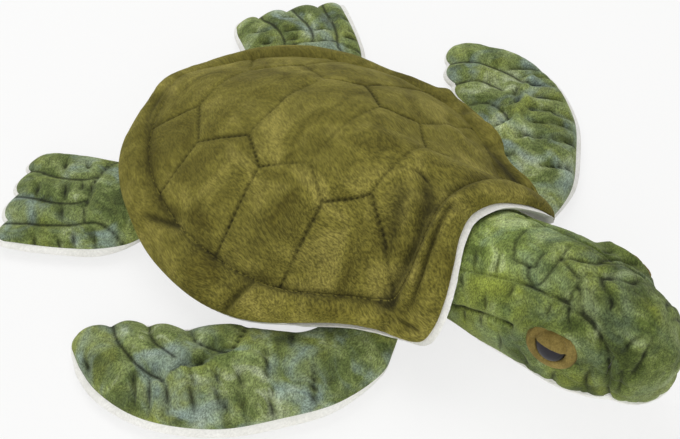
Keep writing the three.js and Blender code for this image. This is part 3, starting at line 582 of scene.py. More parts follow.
# Colour and roughness vary with the haze, a noise, by haze / 2 down and haze up. The attribute rim turns it
# to the rim's colour.
def makePlastic(name, values):
    material, tree = newMaterial(name)
    coordinates = addNode(tree, "ShaderNodeTexCoord").outputs["Object"]
    haze = addNode(
        tree, "ShaderNodeTexNoise", {"Scale": perMm / values["grain"], "Detail": 3}, {"Vector": coordinates},
    )
    ramp = addNode(
        tree, "ShaderNodeValToRGB", {"stops": [(0.35, values["low"]), (0.65, values["high"])]},
        {"Fac": haze.outputs["Fac"]},
    )
    rim = addNode(tree, "ShaderNodeAttribute", {"attribute_name": "rim"})
    toned = addNode(
        tree, "ShaderNodeMix", {"data_type": "RGBA", 7: colour(values["rim"])},
        {0: rim.outputs["Fac"], 6: ramp.outputs["Color"]},
    )
    smoothest = values["roughness"] * (1 - values["haze"] / 2)
    roughest = values["roughness"] * (1 + values["haze"])
    dull = addNode(
        tree, "ShaderNodeMapRange", {"To Min": smoothest, "To Max": roughest}, {"Value": haze.outputs["Fac"]},
    )
    bump = addNode(
        tree, "ShaderNodeBump", {"Strength": 0.08, "Distance": 0.0003}, {"Height": haze.outputs["Fac"]},
    )
    shader = addNode(
        tree, "ShaderNodeBsdfPrincipled",
        {"IOR": 1.5, "Specular IOR Level": 0.3},
        {"Base Color": toned.outputs[2], "Roughness": dull.outputs[0], "Normal": bump.outputs[0]},
    )
    addNode(tree, "ShaderNodeOutputMaterial", links={"Surface": shader.outputs[0]})
    return material


oliveMinky = makeOliveMinky(oliveMinkyLook)
mottledMinky = makeMottledMinky(mottledMinkyLook)
whiteMinky = makePlainPile("whiteMinky", whiteMinkyLook)
oliveFelt = makePlainPile("oliveFelt", oliveFeltLook)
fibreFill = makePlainPile("fibreFill", fibreFillLook)
lensPlastic = makePlastic("lensPlastic", lensPlasticLook)
washerPlastic = makePlastic("washerPlastic", washerPlasticLook)
print("materials made")


# Shell

shell = {
    "length": 269, "width": 230,
    "bellyHeight": 22.7,
    "edgeHeight": 26.6, "grooveHeight": 38, "domeTop": 84.5,
    "collarRise": 48.4, "skirtDroop": 7.6,
    "domeCentre": 0.072, "domePower": 1.65,
    "neckRootSetback": 27,
}

# Skirt's edge from the front arch to the rear: shares of length and width, of the collar's rise and of the
# droop
edgeTable = [
    (0.429, 0, 1, 0), (0.444, 0.07, 0.98, 0), (0.474, 0.139, 0.835, 0), (0.496, 0.2, 0.587, 0),
    (0.5, 0.243, 0.318, 0), (0.485, 0.265, 0.11, 0), (0.44, 0.274, 0.01, 0), (0.381, 0.296, 0, 0),
    (0.322, 0.335, 0, 0), (0.255, 0.396, 0, 0.05), (0.191, 0.448, 0, 0.2), (0.121, 0.483, 0, 0.5),
    (0.035, 0.5, 0, 0.85), (-0.058, 0.493, 0, 1), (-0.151, 0.47, 0, 0.8), (-0.236, 0.43, 0, 0.15),
    (-0.318, 0.374, 0, 0), (-0.385, 0.304, 0, 0), (-0.433, 0.217, 0, 0.1), (-0.474, 0.113, 0, 0.6),
    (-0.5, 0, 0, 0.8),
]
# Sewn groove between dome and skirt at the same stations: shares of length and width, and of the collar's
# rise
grooveTable = [
    (0.368, 0, 0.837), (0.374, 0.057, 0.816), (0.388, 0.122, 0.713), (0.4, 0.178, 0.496),
    (0.401, 0.217, 0.289), (0.392, 0.243, 0.124), (0.362, 0.261, 0.062), (0.318, 0.287, 0.03),
    (0.27, 0.326, 0.02), (0.214, 0.367, 0), (0.158, 0.396, 0), (0.099, 0.411, 0), (0.024, 0.415, 0),
    (-0.058, 0.409, 0), (-0.132, 0.387, 0), (-0.203, 0.354, 0), (-0.27, 0.309, 0), (-0.333, 0.246, 0),
    (-0.381, 0.174, 0), (-0.422, 0.091, 0), (-0.455, 0, 0),
]
# Belly's low lip under the neck at the first stations: shares of length and width, and of the belly's height
lipTable = [
    (0.388, 0, 0.22), (0.388, 0.06, 0.22), (0.388, 0.122, 0.24), (0.392, 0.174, 0.3), (0.396, 0.213, 0.45),
    (0.388, 0.239, 0.68), (0.362, 0.261, 0.88),
]

domeCentreX = shell["domeCentre"] * shell["length"]
collarX = edgeTable[0][0] * shell["length"]
jointOf = {joint["name"]: joint for joint in frame["joints"]}
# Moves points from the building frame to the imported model's, in which the neck's joint says where the collar
# is
collarShift = 1000 * jointOf["neck_turn"]["pos_m"][0] - (collarX - shell["neckRootSetback"])


# Half a ring's points, front to rear, and their mirror image back to the front
def wholeRing(half):
    half = np.asarray(half, float)
    return np.vstack([half, half[-2:0:-1] * [1, -1, 1]])


# Points of the skirt's edge, of the sewn groove and of the belly's rim, from their tables: shares times
# sizes
def ringPoints():
    length, width = shell["length"], shell["width"]
    edge, groove, belly = [], [], []
    for k, ((x, y, rise, droop), (grooveX, grooveY, grooveRise)) in enumerate(zip(edgeTable, grooveTable)):
        height = shell["edgeHeight"] + rise * shell["collarRise"] - droop * shell["skirtDroop"]
        edge.append((x * length, y * width, height))
        height = shell["grooveHeight"] + grooveRise * shell["collarRise"]
        groove.append((grooveX * length, grooveY * width, height))
        lip = lipTable[k] if k < len(lipTable) else (grooveX, grooveY, 1)
        height = lip[2] * (shell["bellyHeight"] - droop * shell["skirtDroop"])
        belly.append((lip[0] * length, lip[1] * width, height))
    return wholeRing(edge), wholeRing(groove), wholeRing(belly)


edgePoints, groovePoints, bellyPoints = ringPoints()


# Where the stuffed rim of this one lies out of true: place round the ring, reach along it, mm outwards and
# mm up
rimMoves = [(0.335, 0.035, -6, 0), (0.176, 0.03, 9, 8), (0.74, 0.035, 1.5, -1)]


# Skirt's edge: the table's curve, moved by move·e^(-(d/reach)²) outwards in plan and up
def edgeAt(u):
    at = curveThrough(edgePoints, u, closed=True)
    away = at[..., :2] - [domeCentreX, 0]
    away = away / np.linalg.norm(away, axis=-1, keepdims=True)
    for middle, reach, out, up in rimMoves:
        share = bell(np.mod(u - middle + 0.5, 1) - 0.5, reach)
        at[..., :2] += out * share[..., None] * away
        at[..., 2] += up * share
    return at


# Way along the edge: difference between two places beside that one
def edgeWay(u, step=1e-4):
    return edgeAt(u + step) - edgeAt(u - step)


def grooveAt(u):
    return curveThrough(groovePoints, u, closed=True)


grooveSamples = grooveAt(np.linspace(0, 0.5, 400))
grooveAngles = np.arctan2(grooveSamples[:, 1], grooveSamples[:, 0] - domeCentreX)
grooveRadii = np.hypot(grooveSamples[:, 1], grooveSamples[:, 0] - domeCentreX)


# Distance from the dome's middle to the groove in each direction
def grooveRadius(angle):
    return np.interp(np.abs(angle), grooveAngles, grooveRadii)


# Dome over its plan: from the top down to the groove in each direction, by the power of the share of the way
def domePoint(angle, reach):
    radius = grooveRadius(angle)
    low = np.interp(np.abs(angle), grooveAngles, grooveSamples[:, 2])
    x = domeCentreX + reach * radius * np.cos(angle)
    y = reach * radius * np.sin(angle)
    z = shell["domeTop"] - (shell["domeTop"] - low) * reach ** shell["domePower"]
    return np.stack([x, y, z], -1)


# Square grid drawn into a disc: x = s·√(1 - t²/2), y = t·√(1 - s²/2), given as angle and reach
def discGrid(count):
    s, t = np.meshgrid(np.linspace(-1, 1, count), np.linspace(-1, 1, count), indexing="ij")
    x = s * np.sqrt(1 - t**2 / 2)
    y = t * np.sqrt(1 - s**2 / 2)
    return np.arctan2(y, x), np.minimum(np.hypot(x, y), 1)


quilt = {
    "count": 222,
    "inner": [(0.232, 0.107), (0.079, 0.136), (-0.095, 0.144), (-0.296, 0.097)],  # corners beside the spine
    "outer": [(0.157, 0.189), (-0.014, 0.206), (-0.206, 0.205)],
    "stations": [5, 9.5, 12, 15, 17.7],  # where the seams meet the groove
    "puff": 2.3, "shoulder": 13,
    "seamDepth": 1.3, "seamWidth": 1.1,
    "stitch": 3.4, "stitchPull": 0.25,  # mm from stitch to stitch, and how much less is held between them
    "crossSeams": 0.6, "sideSeams": 0.9,  # how tight they are, beside the zigzag's 1
    "slack": 6,  # mm by which the puff comes closer to a seam that isn't tight at all
    # How tight the seams are on average, how much that varies and over how many mm, then its least and most
    "tightness": (0.85, 0.5, 19, 0.3, 1.1),
    "pucker": 0.5, "puckerSize": 6.5, "puckerReach": 9, "puckerClear": 2,
    # Hollows and folds of the filled dome: line in plan, height, width and how dark the painted shade along it
    # is
    "marks": [
        ([(74, -13), (82, -26), (87, -40)], -5.0, 8, 0.7),
        ([(83, -1), (90, -8), (97, -14)], -5.0, 6.5, 0.9),
        ([(78, -12), (87, -17), (93, -25)], 2.2, 4, 0),
        ([(94, -16), (99, -27), (102, -38), (103, -48), (102, -57)], -4.4, 5.5, 0.85),
        ([(72, 0), (78, 1), (83, 0)], -1.5, 1.5, 0.8),
        ([(40, 77), (46, 72)], -2.6, 5, 0.4), ([(54, 77), (58, 71)], -2.4, 4, 0.4),
        ([(48, 66), (62, 60)], 1.6, 5, 0),
        ([(-60, 20), (-40, 5), (-15, -6)], 1.2, 12, 0), ([(15, -60), (40, -52)], -1.2, 9, 0),
        # No height, only painted shade: the near side of the dome painted darker
        ([(-5, -84), (30, -76), (66, -64)], 0, 24, 0.2),
    ],
    # Painted shade along the groove, heaviest where the dome's edge shades the rim: turns from straight ahead,
    # and shares
    "grooveShade": ([0, 1.2, 2, 2.9, 3.4, 4, 4.8, 6.28], [0.9, 0.5, 0.4, 0.2, 0.7, 1, 1, 0.9]),
    "grooveFade": ((0.45, 2.5), (0.5, 1)),  # shares of that, and mm over which each fades
    "marksEnd": 0.06, "reliefEnd": 0.04,  # share of the way in which they fade out at the groove
    # Stuffing's underside above the floor, and how steeply it turns up to the groove
    "bottom": 4, "bottomPower": 6,
}
# How a mark fades at its ends, and its painted shade's share of its width
mark = {"cut": 0.15, "power": 0.7, "shadeWidth": 0.7}
# Where the pile is ruffled, towards the front of the right side: direction in plan, from and to in mm along
# it, and how much that varies and over how many mm
ruffle = {"way": (0.8, -0.6), "from": -10, "to": 100, "uneven": 0.35, "size": 24}
farBelow = 200  # mm down to a point from which normals turn away


# Sewn lines of the quilt in plan, with how tight each is: the zigzag beside the spine, its side seams and
# its cross seams
def quiltLines():
    def spot(pair, side):
        return np.array([pair[0] * shell["length"], side * pair[1] * shell["width"]])

    def onGroove(station, side):
        at = grooveAt(np.array([station / (2 * len(grooveTable) - 2)]))[0]
        return np.array([at[0], side * at[1]])

    lines = []
    for side in (1, -1):
        inner = [spot(pair, side) for pair in quilt["inner"]]
        outer = [spot(pair, side) for pair in quilt["outer"]]
        ends = [onGroove(station, side) for station in quilt["stations"]]
        zigzag = [ends[0], inner[0], outer[0], inner[1], outer[1], inner[2], outer[2], inner[3], ends[4]]
        lines.append((np.array(zigzag), 1))
        lines += [(np.array([corner, end]), quilt["sideSeams"]) for corner, end in zip(outer, ends[1:4])]
    lines += [(np.array([spot(pair, 1), spot(pair, -1)]), quilt["crossSeams"]) for pair in quilt["inner"]]
    return lines


# A smooth step along the way, plus noise, from 0 to 1
def ruffleAt(points):
    along = ruffle["way"][0] * points[..., 0] + ruffle["way"][1] * points[..., 1]
    uneven = ruffle["uneven"] * noise(points, ruffle["size"], 7)
    return np.clip(smooth(along, ruffle["from"], ruffle["to"]) + uneven, 0, 1)


# Height and painted shade from marks: lines with height·e^(-(d/width)²), fading out at their ends
def marksLift(points, marks, toPoints):
    lift = np.zeros(points.shape[:-1])
    crease = np.zeros(points.shape[:-1])
    for line, height, width, shadeStrength in marks:
        line = toPoints(curveThrough(line, np.linspace(0, 1, 5 * len(line))))
        distance, run, length = distanceToLine(points, line)
        fade = endFade(run, length, mark["cut"], mark["power"])
        lift += height * fade * bell(distance, width)
        crease += shadeStrength * fade * bell(distance, mark["shadeWidth"] * width)
    return lift, crease


# Top: the dome, swollen between its seams by puff·(1 - e^(-d/shoulder)) and drawn in along them by
# e^(-(d/width)²), tighter at each stitch, with puckers beside them. Bottom: the same discs let down to the
# belly by a power of the share of the way, so that the cushion is closed.
def makeQuilt():
    angle, reach = discGrid(quilt["count"])
    base = domePoint(angle, reach)
    plan = base[..., :2]
    toGroove = (1 - reach) * grooveRadius(angle)
    seam = np.full(reach.shape, 1e6)
    held = seam.copy()
    drawn = 0 * seam
    pull = quilt["stitchPull"]
    for line, tight in quiltLines():
        distance, run, _ = distanceToLine(plan, line)
        stitch = tight * (1 - pull + pull * np.cos(2 * math.pi * run / quilt["stitch"]))
        drawn = np.where(distance < seam, stitch, drawn)
        seam = np.minimum(seam, distance)
        held = np.minimum(held, distance + quilt["slack"] * (1 - tight))
    held = np.minimum(toGroove, held)
    mean, varies, size, least, most = quilt["tightness"]
    drawn *= np.clip(mean + varies * noise(base, size, 6), least, most)
    line = bell(seam, quilt["seamWidth"])
    lift = quilt["puff"] * (1 - np.exp(-held / quilt["shoulder"]))
    lift -= quilt["seamDepth"] * line * drawn
    beside = np.exp(-held / quilt["puckerReach"]) * (1 - np.exp(-held / quilt["puckerClear"]))
    lift += quilt["pucker"] * noise(base, quilt["puckerSize"], 5) * beside
    marked, darkening = marksLift(plan, quilt["marks"], lambda places: places)
    lift += marked * smooth(1 - reach, 0, quilt["marksEnd"])
    lift += fabricRelief(base, 11) * smooth(1 - reach, 0, quilt["reliefEnd"])
    top = base + lift[..., None] * normalsOf(base, np.array([domeCentreX, 0, -farBelow]))
    ring = np.where(angle > 0, angle, 2 * math.pi + angle)
    grooveShading = sum(share * np.exp(-toGroove / fade) for share, fade in quilt["grooveFade"])
    # painted shade along the seams, in the marks' hollows and along the groove
    crease = line * drawn + darkening + grooveShading * np.interp(ring, *quilt["grooveShade"])
    bottom = base.copy()
    bottom[..., 2] = quilt["bottom"] + (base[..., 2] - quilt["bottom"]) * reach ** quilt["bottomPower"]
    values = {"crease": np.clip(crease, 0, 1), "ruffle": ruffleAt(base)}
    piece = makePiece("shellQuilt", top, bottom, values=values)
    dressPiece(piece, oliveMinky, "olive_minky", "shell", ["shell_cover", "body_stuffing"])


makeQuilt()
print("quilt made")


skirt = {
    "columns": 560, "rows": 40, "crowding": 1.3,  # how much closer the rows lie towards the edge, as a power
    "edge": 3, "edgeRound": 1.6,  # thickness of the edge, and half edges over which it rounds off
    "swellPower": 0.8, "thinnest": 0.4,  # in half edges, under the deepest fold
    # mm over which the painted shade in the groove fades out across the skirt
    "grooveShadeReach": 2.5,
    # Painted highlight: how much lighter the roll beside the right front flipper is painted, and from and to
    # where round the ring
    "rollHighlight": 0.16, "rollFrom": (0.735, 0.75), "rollTo": (0.84, 0.88),
    # Round the ring: the swell's puff, mm in which it climbs out of the groove, how dark the painted shade in
    # the groove is there
    "round": [
        (0, 4.2, 4, 0.8), (0.05, 4.2, 4, 0.8), (0.1, 4.5, 4.5, 0.8), (0.16, 4.2, 7, 0.5),
        (0.22, 4.2, 7, 0.3), (0.3, 4.4, 7, 0.3), (0.4, 4.2, 6, 0.4), (0.47, 4.2, 9, 0.25),
        (0.52, 4.2, 10, 0.3), (0.56, 4.6, 9, 0.8), (0.62, 5.6, 7, 0.9), (0.69, 5.6, 8, 0.9),
        (0.735, 5, 6, 0.9), (0.76, 6.6, 3, 1), (0.82, 6.8, 3, 1), (0.87, 5.6, 3.5, 1),
        (0.92, 4.2, 3.5, 0.9), (1, 4.2, 4, 0.8),
    ],
    # Folds of the rim, as the quilt's marks, in place round the ring and across it
    "marks": [
        ([(0.886, 0.2), (0.905, 0.17), (0.93, 0.14), (0.96, 0.14), (0.99, 0.16)], 2.6, 3.0, 0),
        ([(0.897, 0.42), (0.921, 0.34), (0.944, 0.3), (0.96, 0.29), (0.985, 0.3)], -3.4, 2.1, 0.85),
        ([(0.9, 0.6), (0.93, 0.52), (0.96, 0.52), (0.99, 0.55)], 0.9, 4, 0),
        ([(0.7275, 1.0), (0.7345, 0.67), (0.7425, 0.3), (0.749, 0.04)], 3.8, 2.6, 0),
        ([(0.7215, 0.95), (0.7275, 0.55), (0.7355, 0.15)], -4, 3.6, 0.8),
        ([(0.716, 0.3), (0.7225, 0.46)], -2.6, 5, 0.35),
        ([(0.862, 0.03), (0.884, 0.07)], -2.6, 6, 1),
        ([(0.832, 0.9), (0.8488, 0.6), (0.8658, 0.4)], -3, 4, 0.5),
        ([(0.8744, 0.4), (0.8806, 0.58), (0.8869, 0.8)], -2.6, 1.7, 0.8),
        ([(0.6605, 0.04), (0.6525, 0.17), (0.6425, 0.34), (0.635, 0.5)], -4, 3.2, 0.9),
        ([(0.511, 0.1), (0.525, 0.2), (0.54, 0.24), (0.556, 0.18)], -2.6, 3, 0.6),
        ([(0.222, 1), (0.232, 0.6), (0.247, 0.15)], 3.2, 3, 0),
        ([(0.212, 0.1), (0.19, 0.35), (0.155, 0.42), (0.115, 0.36)], -6, 6, 1),
        ([(0.3, 0.7), (0.286, 0.3)], 2.6, 4, 0), ([(0.27, 0.5), (0.262, 0.1)], -3, 3.5, 0.5),
    ],
}


# Place across the skirt, 0 at the groove and 1 at the edge, lifted square to it: the cross product of its
# width and of the way along its edge
def skirtPoint(u, across, lift):
    groove = grooveAt(u)
    width = edgeAt(u) - groove
    up = np.cross(width, edgeWay(u))
    up /= np.linalg.norm(up, axis=-1, keepdims=True)
    return groove + across[..., None] * width + lift[..., None] * up


def skirtWidth(u):
    return np.linalg.norm(edgeAt(u) - grooveAt(u), axis=-1)


# Upper side: half an edge and a swell of puff·(4a(1-a))^0.8 with its folds, never thinner than a share of
# that half, closed by quarter rounds at the groove and the edge. Underside: a plain slope to the edge,
# closed by the same round.
def makeSkirt():
    u, a = gridOf(skirt["columns"], skirt["rows"], ring=True)
    a = 1 - (1 - a) ** skirt["crowding"]
    width = skirtWidth(u)
    puff, rise, shadeStrength = np.moveaxis(readTable(skirt["round"], u), -1, 0)
    half = skirt["edge"] / 2
    close = quarterRound((1 - a) * width / (skirt["edgeRound"] * half))
    climb = quarterRound(a * width / rise)
    flat = skirtPoint(u, a, np.zeros_like(a))
    marked, darkening = marksLift(
        flat, skirt["marks"], lambda places: skirtPoint(places[:, 0], places[:, 1], np.zeros(len(places))),
    )
    lift = half + puff * (4 * a * (1 - a)) ** skirt["swellPower"] + marked
    lift = (np.maximum(lift, skirt["thinnest"] * half) + fabricRelief(flat, 23)) * close * climb
    outer = skirtPoint(u, a, lift)
    inner = skirtPoint(u, a, -half * a * close)
    # painted shade in the groove and in the folds, and a painted highlight on the roll
    crease = np.clip(shadeStrength * np.exp(-a * width / skirt["grooveShadeReach"]) + darkening, 0, 1)
    tone = skirt["rollHighlight"] * smooth(u, *skirt["rollFrom"]) * (1 - smooth(u, *skirt["rollTo"]))
    values = {"crease": crease, "ruffle": ruffleAt(flat), "tone": tone}
    piece = makePiece("shellSkirt", outer, inner, loop=True, values=values)
    dressPiece(piece, oliveMinky, "olive_minky", "shell", ["shell_skirt"])


makeSkirt()
print("skirt made")


lining = {
    "columns": 480, "rows": 16, "thickness": 2.4,
    "setback": 3,  # of its top inside the collar, outside the groove
    "gap": 0.3, "hang": 0.6,  # under the skirt's underside, and back up to it at the lip
    "collarLip": 4.4, "sideLip": 2.3, "rearLip": 0.2,  # how far it shows past the skirt
    # The left side lies a little out of true: a wider lip at the collar's end and hardly any beyond it
    "endLip": 1.4, "endPlace": 0.064, "endReach": 0.018, "farLip": 0.4, "farFrom": 0.076, "farTo": 0.1,
    "sideFrom": 0.2185, "sideTo": 0.2386,  # place round the ring where it slips back under the skirt
    "collarStart": 0.3,  # rise of the collar, as a share, over which the lining moves up inside it
    "wave": 0.5, "waveSize": 13, "waveFrom": 1,  # of the lip, where it is wider than that
    "rollFrom": 0.85,  # share of the way out from which it thins down to the lip
    "fuzz": 0.25, "fuzzSize": 2.2, "fuzzFrom": (0.8, 0.95),
}


# A sheet along straight lines from the belly's rim, or from up inside the collar, out past the skirt's edge
# by the lip. Its underside lies its thickness below, thinned to the lip by √(1 - t²).
def makeLining():
    u, v = gridOf(lining["columns"], lining["rows"], ring=True)
    half = skirt["edge"] / 2 + lining["gap"]
    width = skirtWidth(u)
    rise = (grooveAt(u)[..., 2] - shell["grooveHeight"]) / (grooveTable[0][2] * shell["collarRise"])
    collar = smooth(rise, 0, lining["collarStart"])
    lip = lining["sideLip"] + (lining["collarLip"] - lining["sideLip"]) * collar
    lip += lining["endLip"] * bell(u - lining["endPlace"], lining["endReach"])
    lip += (lining["rearLip"] - lip) * smooth(np.minimum(u, 1 - u), lining["sideFrom"], lining["sideTo"])
    lip += (lining["farLip"] - lip) * smooth(u, lining["farFrom"], lining["farTo"]) * (u < 0.5)
    lip += lining["wave"] * noise(edgeAt(u), lining["waveSize"], 33) * (lip > lining["waveFrom"])
    outer = skirtPoint(u, 1 + lip / width, np.full_like(u, lining["hang"] - half))
    seat = curveThrough(bellyPoints, u, closed=True)
    seat[..., 2] = edgeAt(u)[..., 2] - half
    top = skirtPoint(u, lining["setback"] / width, np.full_like(u, -half))
    inner = seat + (top - seat) * collar[..., None]
    line = inner + (outer - inner) * v[..., None]
    down = np.cross(edgeWay(u), outer - inner)
    down /= np.linalg.norm(down, axis=-1, keepdims=True)
    thinned = np.sqrt(1 - np.clip((v - lining["rollFrom"]) / (1 - lining["rollFrom"]), 0, 1) ** 2)
    fuzz = lining["fuzz"] * noise(line, lining["fuzzSize"], 31)
    upper = line + (fuzz * smooth(v, *lining["fuzzFrom"]))[..., None]
    lower = line + down * ((lining["thickness"] + fuzz) * thinned)[..., None]
    piece = makePiece("shellLining", upper, lower, loop=True)
    dressPiece(piece, whiteMinky, "white_minky", "shell", ["shell_lining"])


makeLining()

belly = {
    "columns": 200, "rows": 60, "thickness": 2,
    "flat": 0.82, "rowsFlat": 0.4,  # how far out it is flat, and the share of the rows up to there
    "fuzz": 0.25, "fuzzSize": 2.4,
}


# Flat on the floor in the middle, its rim turned up by a quarter circle to the lining
def makeBelly():
    u, v = gridOf(belly["columns"], belly["rows"], ring=True)

    def surface(inset):
        rim = curveThrough(bellyPoints, u, closed=True)
        plan = rim[..., :2] - [domeCentreX, 0]
        plan *= (1 - inset / np.linalg.norm(plan, axis=-1))[..., None]
        turn = np.clip((v - belly["rowsFlat"]) / (1 - belly["rowsFlat"]), 0, 1) * math.pi / 2
        reach = np.minimum(v / belly["rowsFlat"], 1) * belly["flat"] + (1 - belly["flat"]) * np.sin(turn)
        height = inset + (rim[..., 2] - inset) * (1 - np.cos(turn))
        return np.concatenate([plan * reach[..., None] + [domeCentreX, 0], height[..., None]], -1)

    outer = surface(0)
    outer[..., 2] += belly["fuzz"] * np.abs(noise(outer, belly["fuzzSize"], 41))
    piece = makePiece("bellyPanel", outer, surface(belly["thickness"]), loop=True)
    dressPiece(piece, whiteMinky, "white_minky", "shell", ["belly_panel"])


makeBelly()
print("lining and belly made")


# Neck and head

head = {
    "length": 131, "width": 79, "height": 69.2, "lift": 15.6,
    "neckHalfWidth": 32.91, "neckHalfHeight": 25.95, "neckAxis": 36.45, "rearSetback": 20,
    "muzzle": 23.6, "muzzleDrop": 6, "widthPower": 1.2, "heightPower": 0.8,
    # Degrees from the top to the chin's seam, by place along
    "chinSeam": [
        (0, 118), (0.4, 115), (0.9, 116), (1.1, 121), (1.4, 127), (1.62, 148), (1.77, 168), (1.9, 180),
    ],
    "thickness": 2, "deepest": 2.2,  # no fold goes deeper than that
    "puff": 1.2, "shoulder": 6, "seamDepth": 1.5, "seamWidth": 1.4,
    "seamEnd": 0.93, "seamEase": 3,  # share of a seam from which it eases off, and by how many mm
    # Painted shade along seams, folds and pockets and round the scales: its shares and widths
    "seamShadeWidth": 0.85, "seamPatches": (0.75, 0.9, 11, 0.25, 1),  # as the quilt's tightness
    "foldDepth": 1.6, "foldWidth": 1.9, "foldCut": 0.12, "foldShade": 0.8, "foldShadeWidth": 1.2,
    "pocketDepth": 1.3, "pocketWidth": 1.6, "pocketShade": 0.7, "pocketShadeWidth": 1.1,
    "scale": 12.5, "scaleDepth": 1.3, "scaleShoulder": 2.2, "scaleFrom": (0.55, 0.85),
    "scaleShade": 0.36, "scaleShadeReach": 1.5, "scaleShadeFrom": (0.5, 0.75),
    "scalePatches": (0.7, 0.9, 17, 0, 1.3),
    "browHeight": 5.6, "browWidth": 3.4, "browCut": 0.08, "browPower": 0.7,
    "eyePlace": 0.771, "eyeAngle": 73,
    "eyeSeat": 16.5, "seatEdge": 4,  # the seat for the felt fades over its edge
    # Fullness of cheek and nape: place along, degrees from the top, reach of both and height
    "cheek": (0.84, 121, 0.16, 24, 5.5), "nape": (0.22, 0, 0.16, 75, 3.2),
    # Painted highlight on the neck's top and painted shade on its sides and the snout: how much lighter and
    # darker
    "neckTopHighlight": 0.42, "neckSideShade": 0.16, "napeSpread": 58, "neckEnd": (0.33, 0.6),
    "snoutShade": 0.2, "snoutFrom": (0.5, 0.85),
}
# Sewn lines and pressed folds of each side: place along the head and degrees from the top
headSeams = [
    [(0, -50), (0.145, -48), (0.266, -44.4), (0.413, -38.3), (0.559, -34.1), (0.715, -33.4), (0.8, -36)],
    [(0, -88), (0.145, -86), (0.268, -84), (0.346, -77.9), (0.434, -74.5), (0.517, -72.1), (0.63, -71)],
    [(0.99, -66), (1.001, -71.8), (1.04, -85), (1.06, -107), (1.07, -128)],
    [(0.759, -36.5), (0.783, -46), (0.828, -55)],
]
headFolds = [
    [(0.275, -24.2), (0.297, -32), (0.318, -39.9)], [(0.376, -20.4), (0.392, -29), (0.409, -37.1)],
    [(0.281, -48.1), (0.29, -54), (0.313, -58.3)], [(0.416, -54.9), (0.43, -62), (0.446, -69.7)],
    [(0.505, -38), (0.512, -44), (0.516, -50)], [(0.689, -38), (0.695, -45), (0.703, -50.8)],
    [(0.346, -79), (0.352, -86), (0.361, -93.1)], [(0.429, -76), (0.437, -82), (0.447, -88)],
    [(0.809, -100.8), (0.8, -110), (0.791, -120)], [(0.8, -36), (0.84, -38), (0.866, -38.5), (0.89, -44)],
    [(0.768, -26.3), (0.8, -31), (0.836, -37.3), (0.88, -41), (0.914, -45), (0.953, -61.6)],
    [(0.677, -32.7), (0.71, -32), (0.736, -31.3), (0.735, -23.9), (0.728, -14.4)],
    [(0.728, -14.4), (0.75, -19), (0.784, -24.6)],
    [(0.85, -8.5), (0.88, -13), (0.898, -19.3), (0.893, -26.9)],
    [(0.599, 0), (0.64, -4), (0.668, -6), (0.743, -12.6)], [(0.784, 0), (0.802, -2.4), (0.843, -9.7)],
    [(1.194, -24), (1.15, -31), (1.117, -37.7), (1.083, -51.7)], [(0.93, -47), (0.963, -53.4), (0.99, -64)],
    [(1.33, -20), (1.36, -48), (1.3, -75)], [(1.2, -70), (1.22, -90), (1.17, -108)],
    [(0.95, -80), (0.93, -95), (0.945, -112)], [(0.64, -92), (0.68, -104), (0.66, -116)],
    [(0.53, -84), (0.55, -96), (0.54, -110)],
]
# Pockets of the crown's fabric, each a pressed line round a low mound
headPockets = [
    [
        (0.378, 13.3), (0.394, -3.8), (0.422, -13.1), (0.469, -19.6), (0.509, -19.3), (0.53, -12.1),
        (0.526, -3.1),
    ],
    [
        (0.516, -20.2), (0.547, -28.5), (0.579, -31.5), (0.603, -27.8), (0.606, -16.4), (0.598, -0.5),
        (0.582, 16),
    ],
]
# Roll of fabric over the eye
headBrow = [(0.615, -77), (0.63, -66.5), (0.69, -58), (0.765, -55.5), (0.835, -58), (0.88, -66)]


# Place along the head, then the neck's share of the section, the head's share of width and of height, share
# of the lift, and the crown's and the side's seams in degrees from the top
headTable = [
    (0, 1, 0, 0, 0, 50, 88), (0.145, 0.6, 0.4, 0.335, 0.064, 48, 86),
    (0.298, 0.25, 0.74, 0.69, 0.27, 43, 84), (0.489, 0, 1, 0.98, 0.56, 38, 76),
    (0.679, 0, 0.98, 0.99, 0.82, 36, 72), (0.87, 0, 0.886, 0.945, 1, 42, 72),
    (1, 0, 0.734, 0.885, 0.9, 58, 80),
]


# Ellipses along the neck and head, then a muzzle whose width and height close by powers of the cosine of its
# turn. The angle is in degrees from the top towards the left.
def headPoint(along, degrees, inset=0.0):
    neck, wide, high = np.moveaxis(readTable(headTable, along)[..., :3], -1, 0)
    halfWidth = neck * head["neckHalfWidth"] + wide * head["width"] / 2
    halfHeight = neck * head["neckHalfHeight"] + high * head["height"] / 2
    turn = np.clip(along - 1, 0, 1) * math.pi / 2
    angle = np.radians(degrees)
    close = np.maximum(np.cos(turn), 0)
    axisX, _, axisZ = np.moveaxis(headAxis(along), -1, 0)
    x = axisX + (head["muzzle"] - inset) * np.sin(turn)
    y = (halfWidth - inset) * close ** head["widthPower"] * np.sin(angle)
    z = axisZ - head["muzzleDrop"] * np.sin(turn) ** 2
    z = z + (halfHeight - inset) * close ** head["heightPower"] * np.cos(angle)
    return np.stack([x, y, z], -1)


# Middle of the head's sections: straight ahead, and up by the table's share of the lift
def headAxis(along):
    lift = readTable(headTable, along)[..., 3]
    x = collarX - head["rearSetback"] + np.minimum(along, 1) * head["length"]
    return np.stack([x, np.zeros_like(x), head["neckAxis"] + lift * head["lift"]], -1)


# Degrees from the top to the three seams on each side of the head
def crownSeam(along):
    return readTable(headTable, along)[..., 4]


def sideSeam(along):
    return readTable(headTable, along)[..., 5]


def chinSeam(along):
    return readTable(head["chinSeam"], along)[..., 0]


# A line on the head of one side as a smooth run of points
def headLine(line, side):
    places = curveThrough(line, np.linspace(0, 1, 6 * len(line)))
    return headPoint(places[:, 0], -side * places[:, 1])


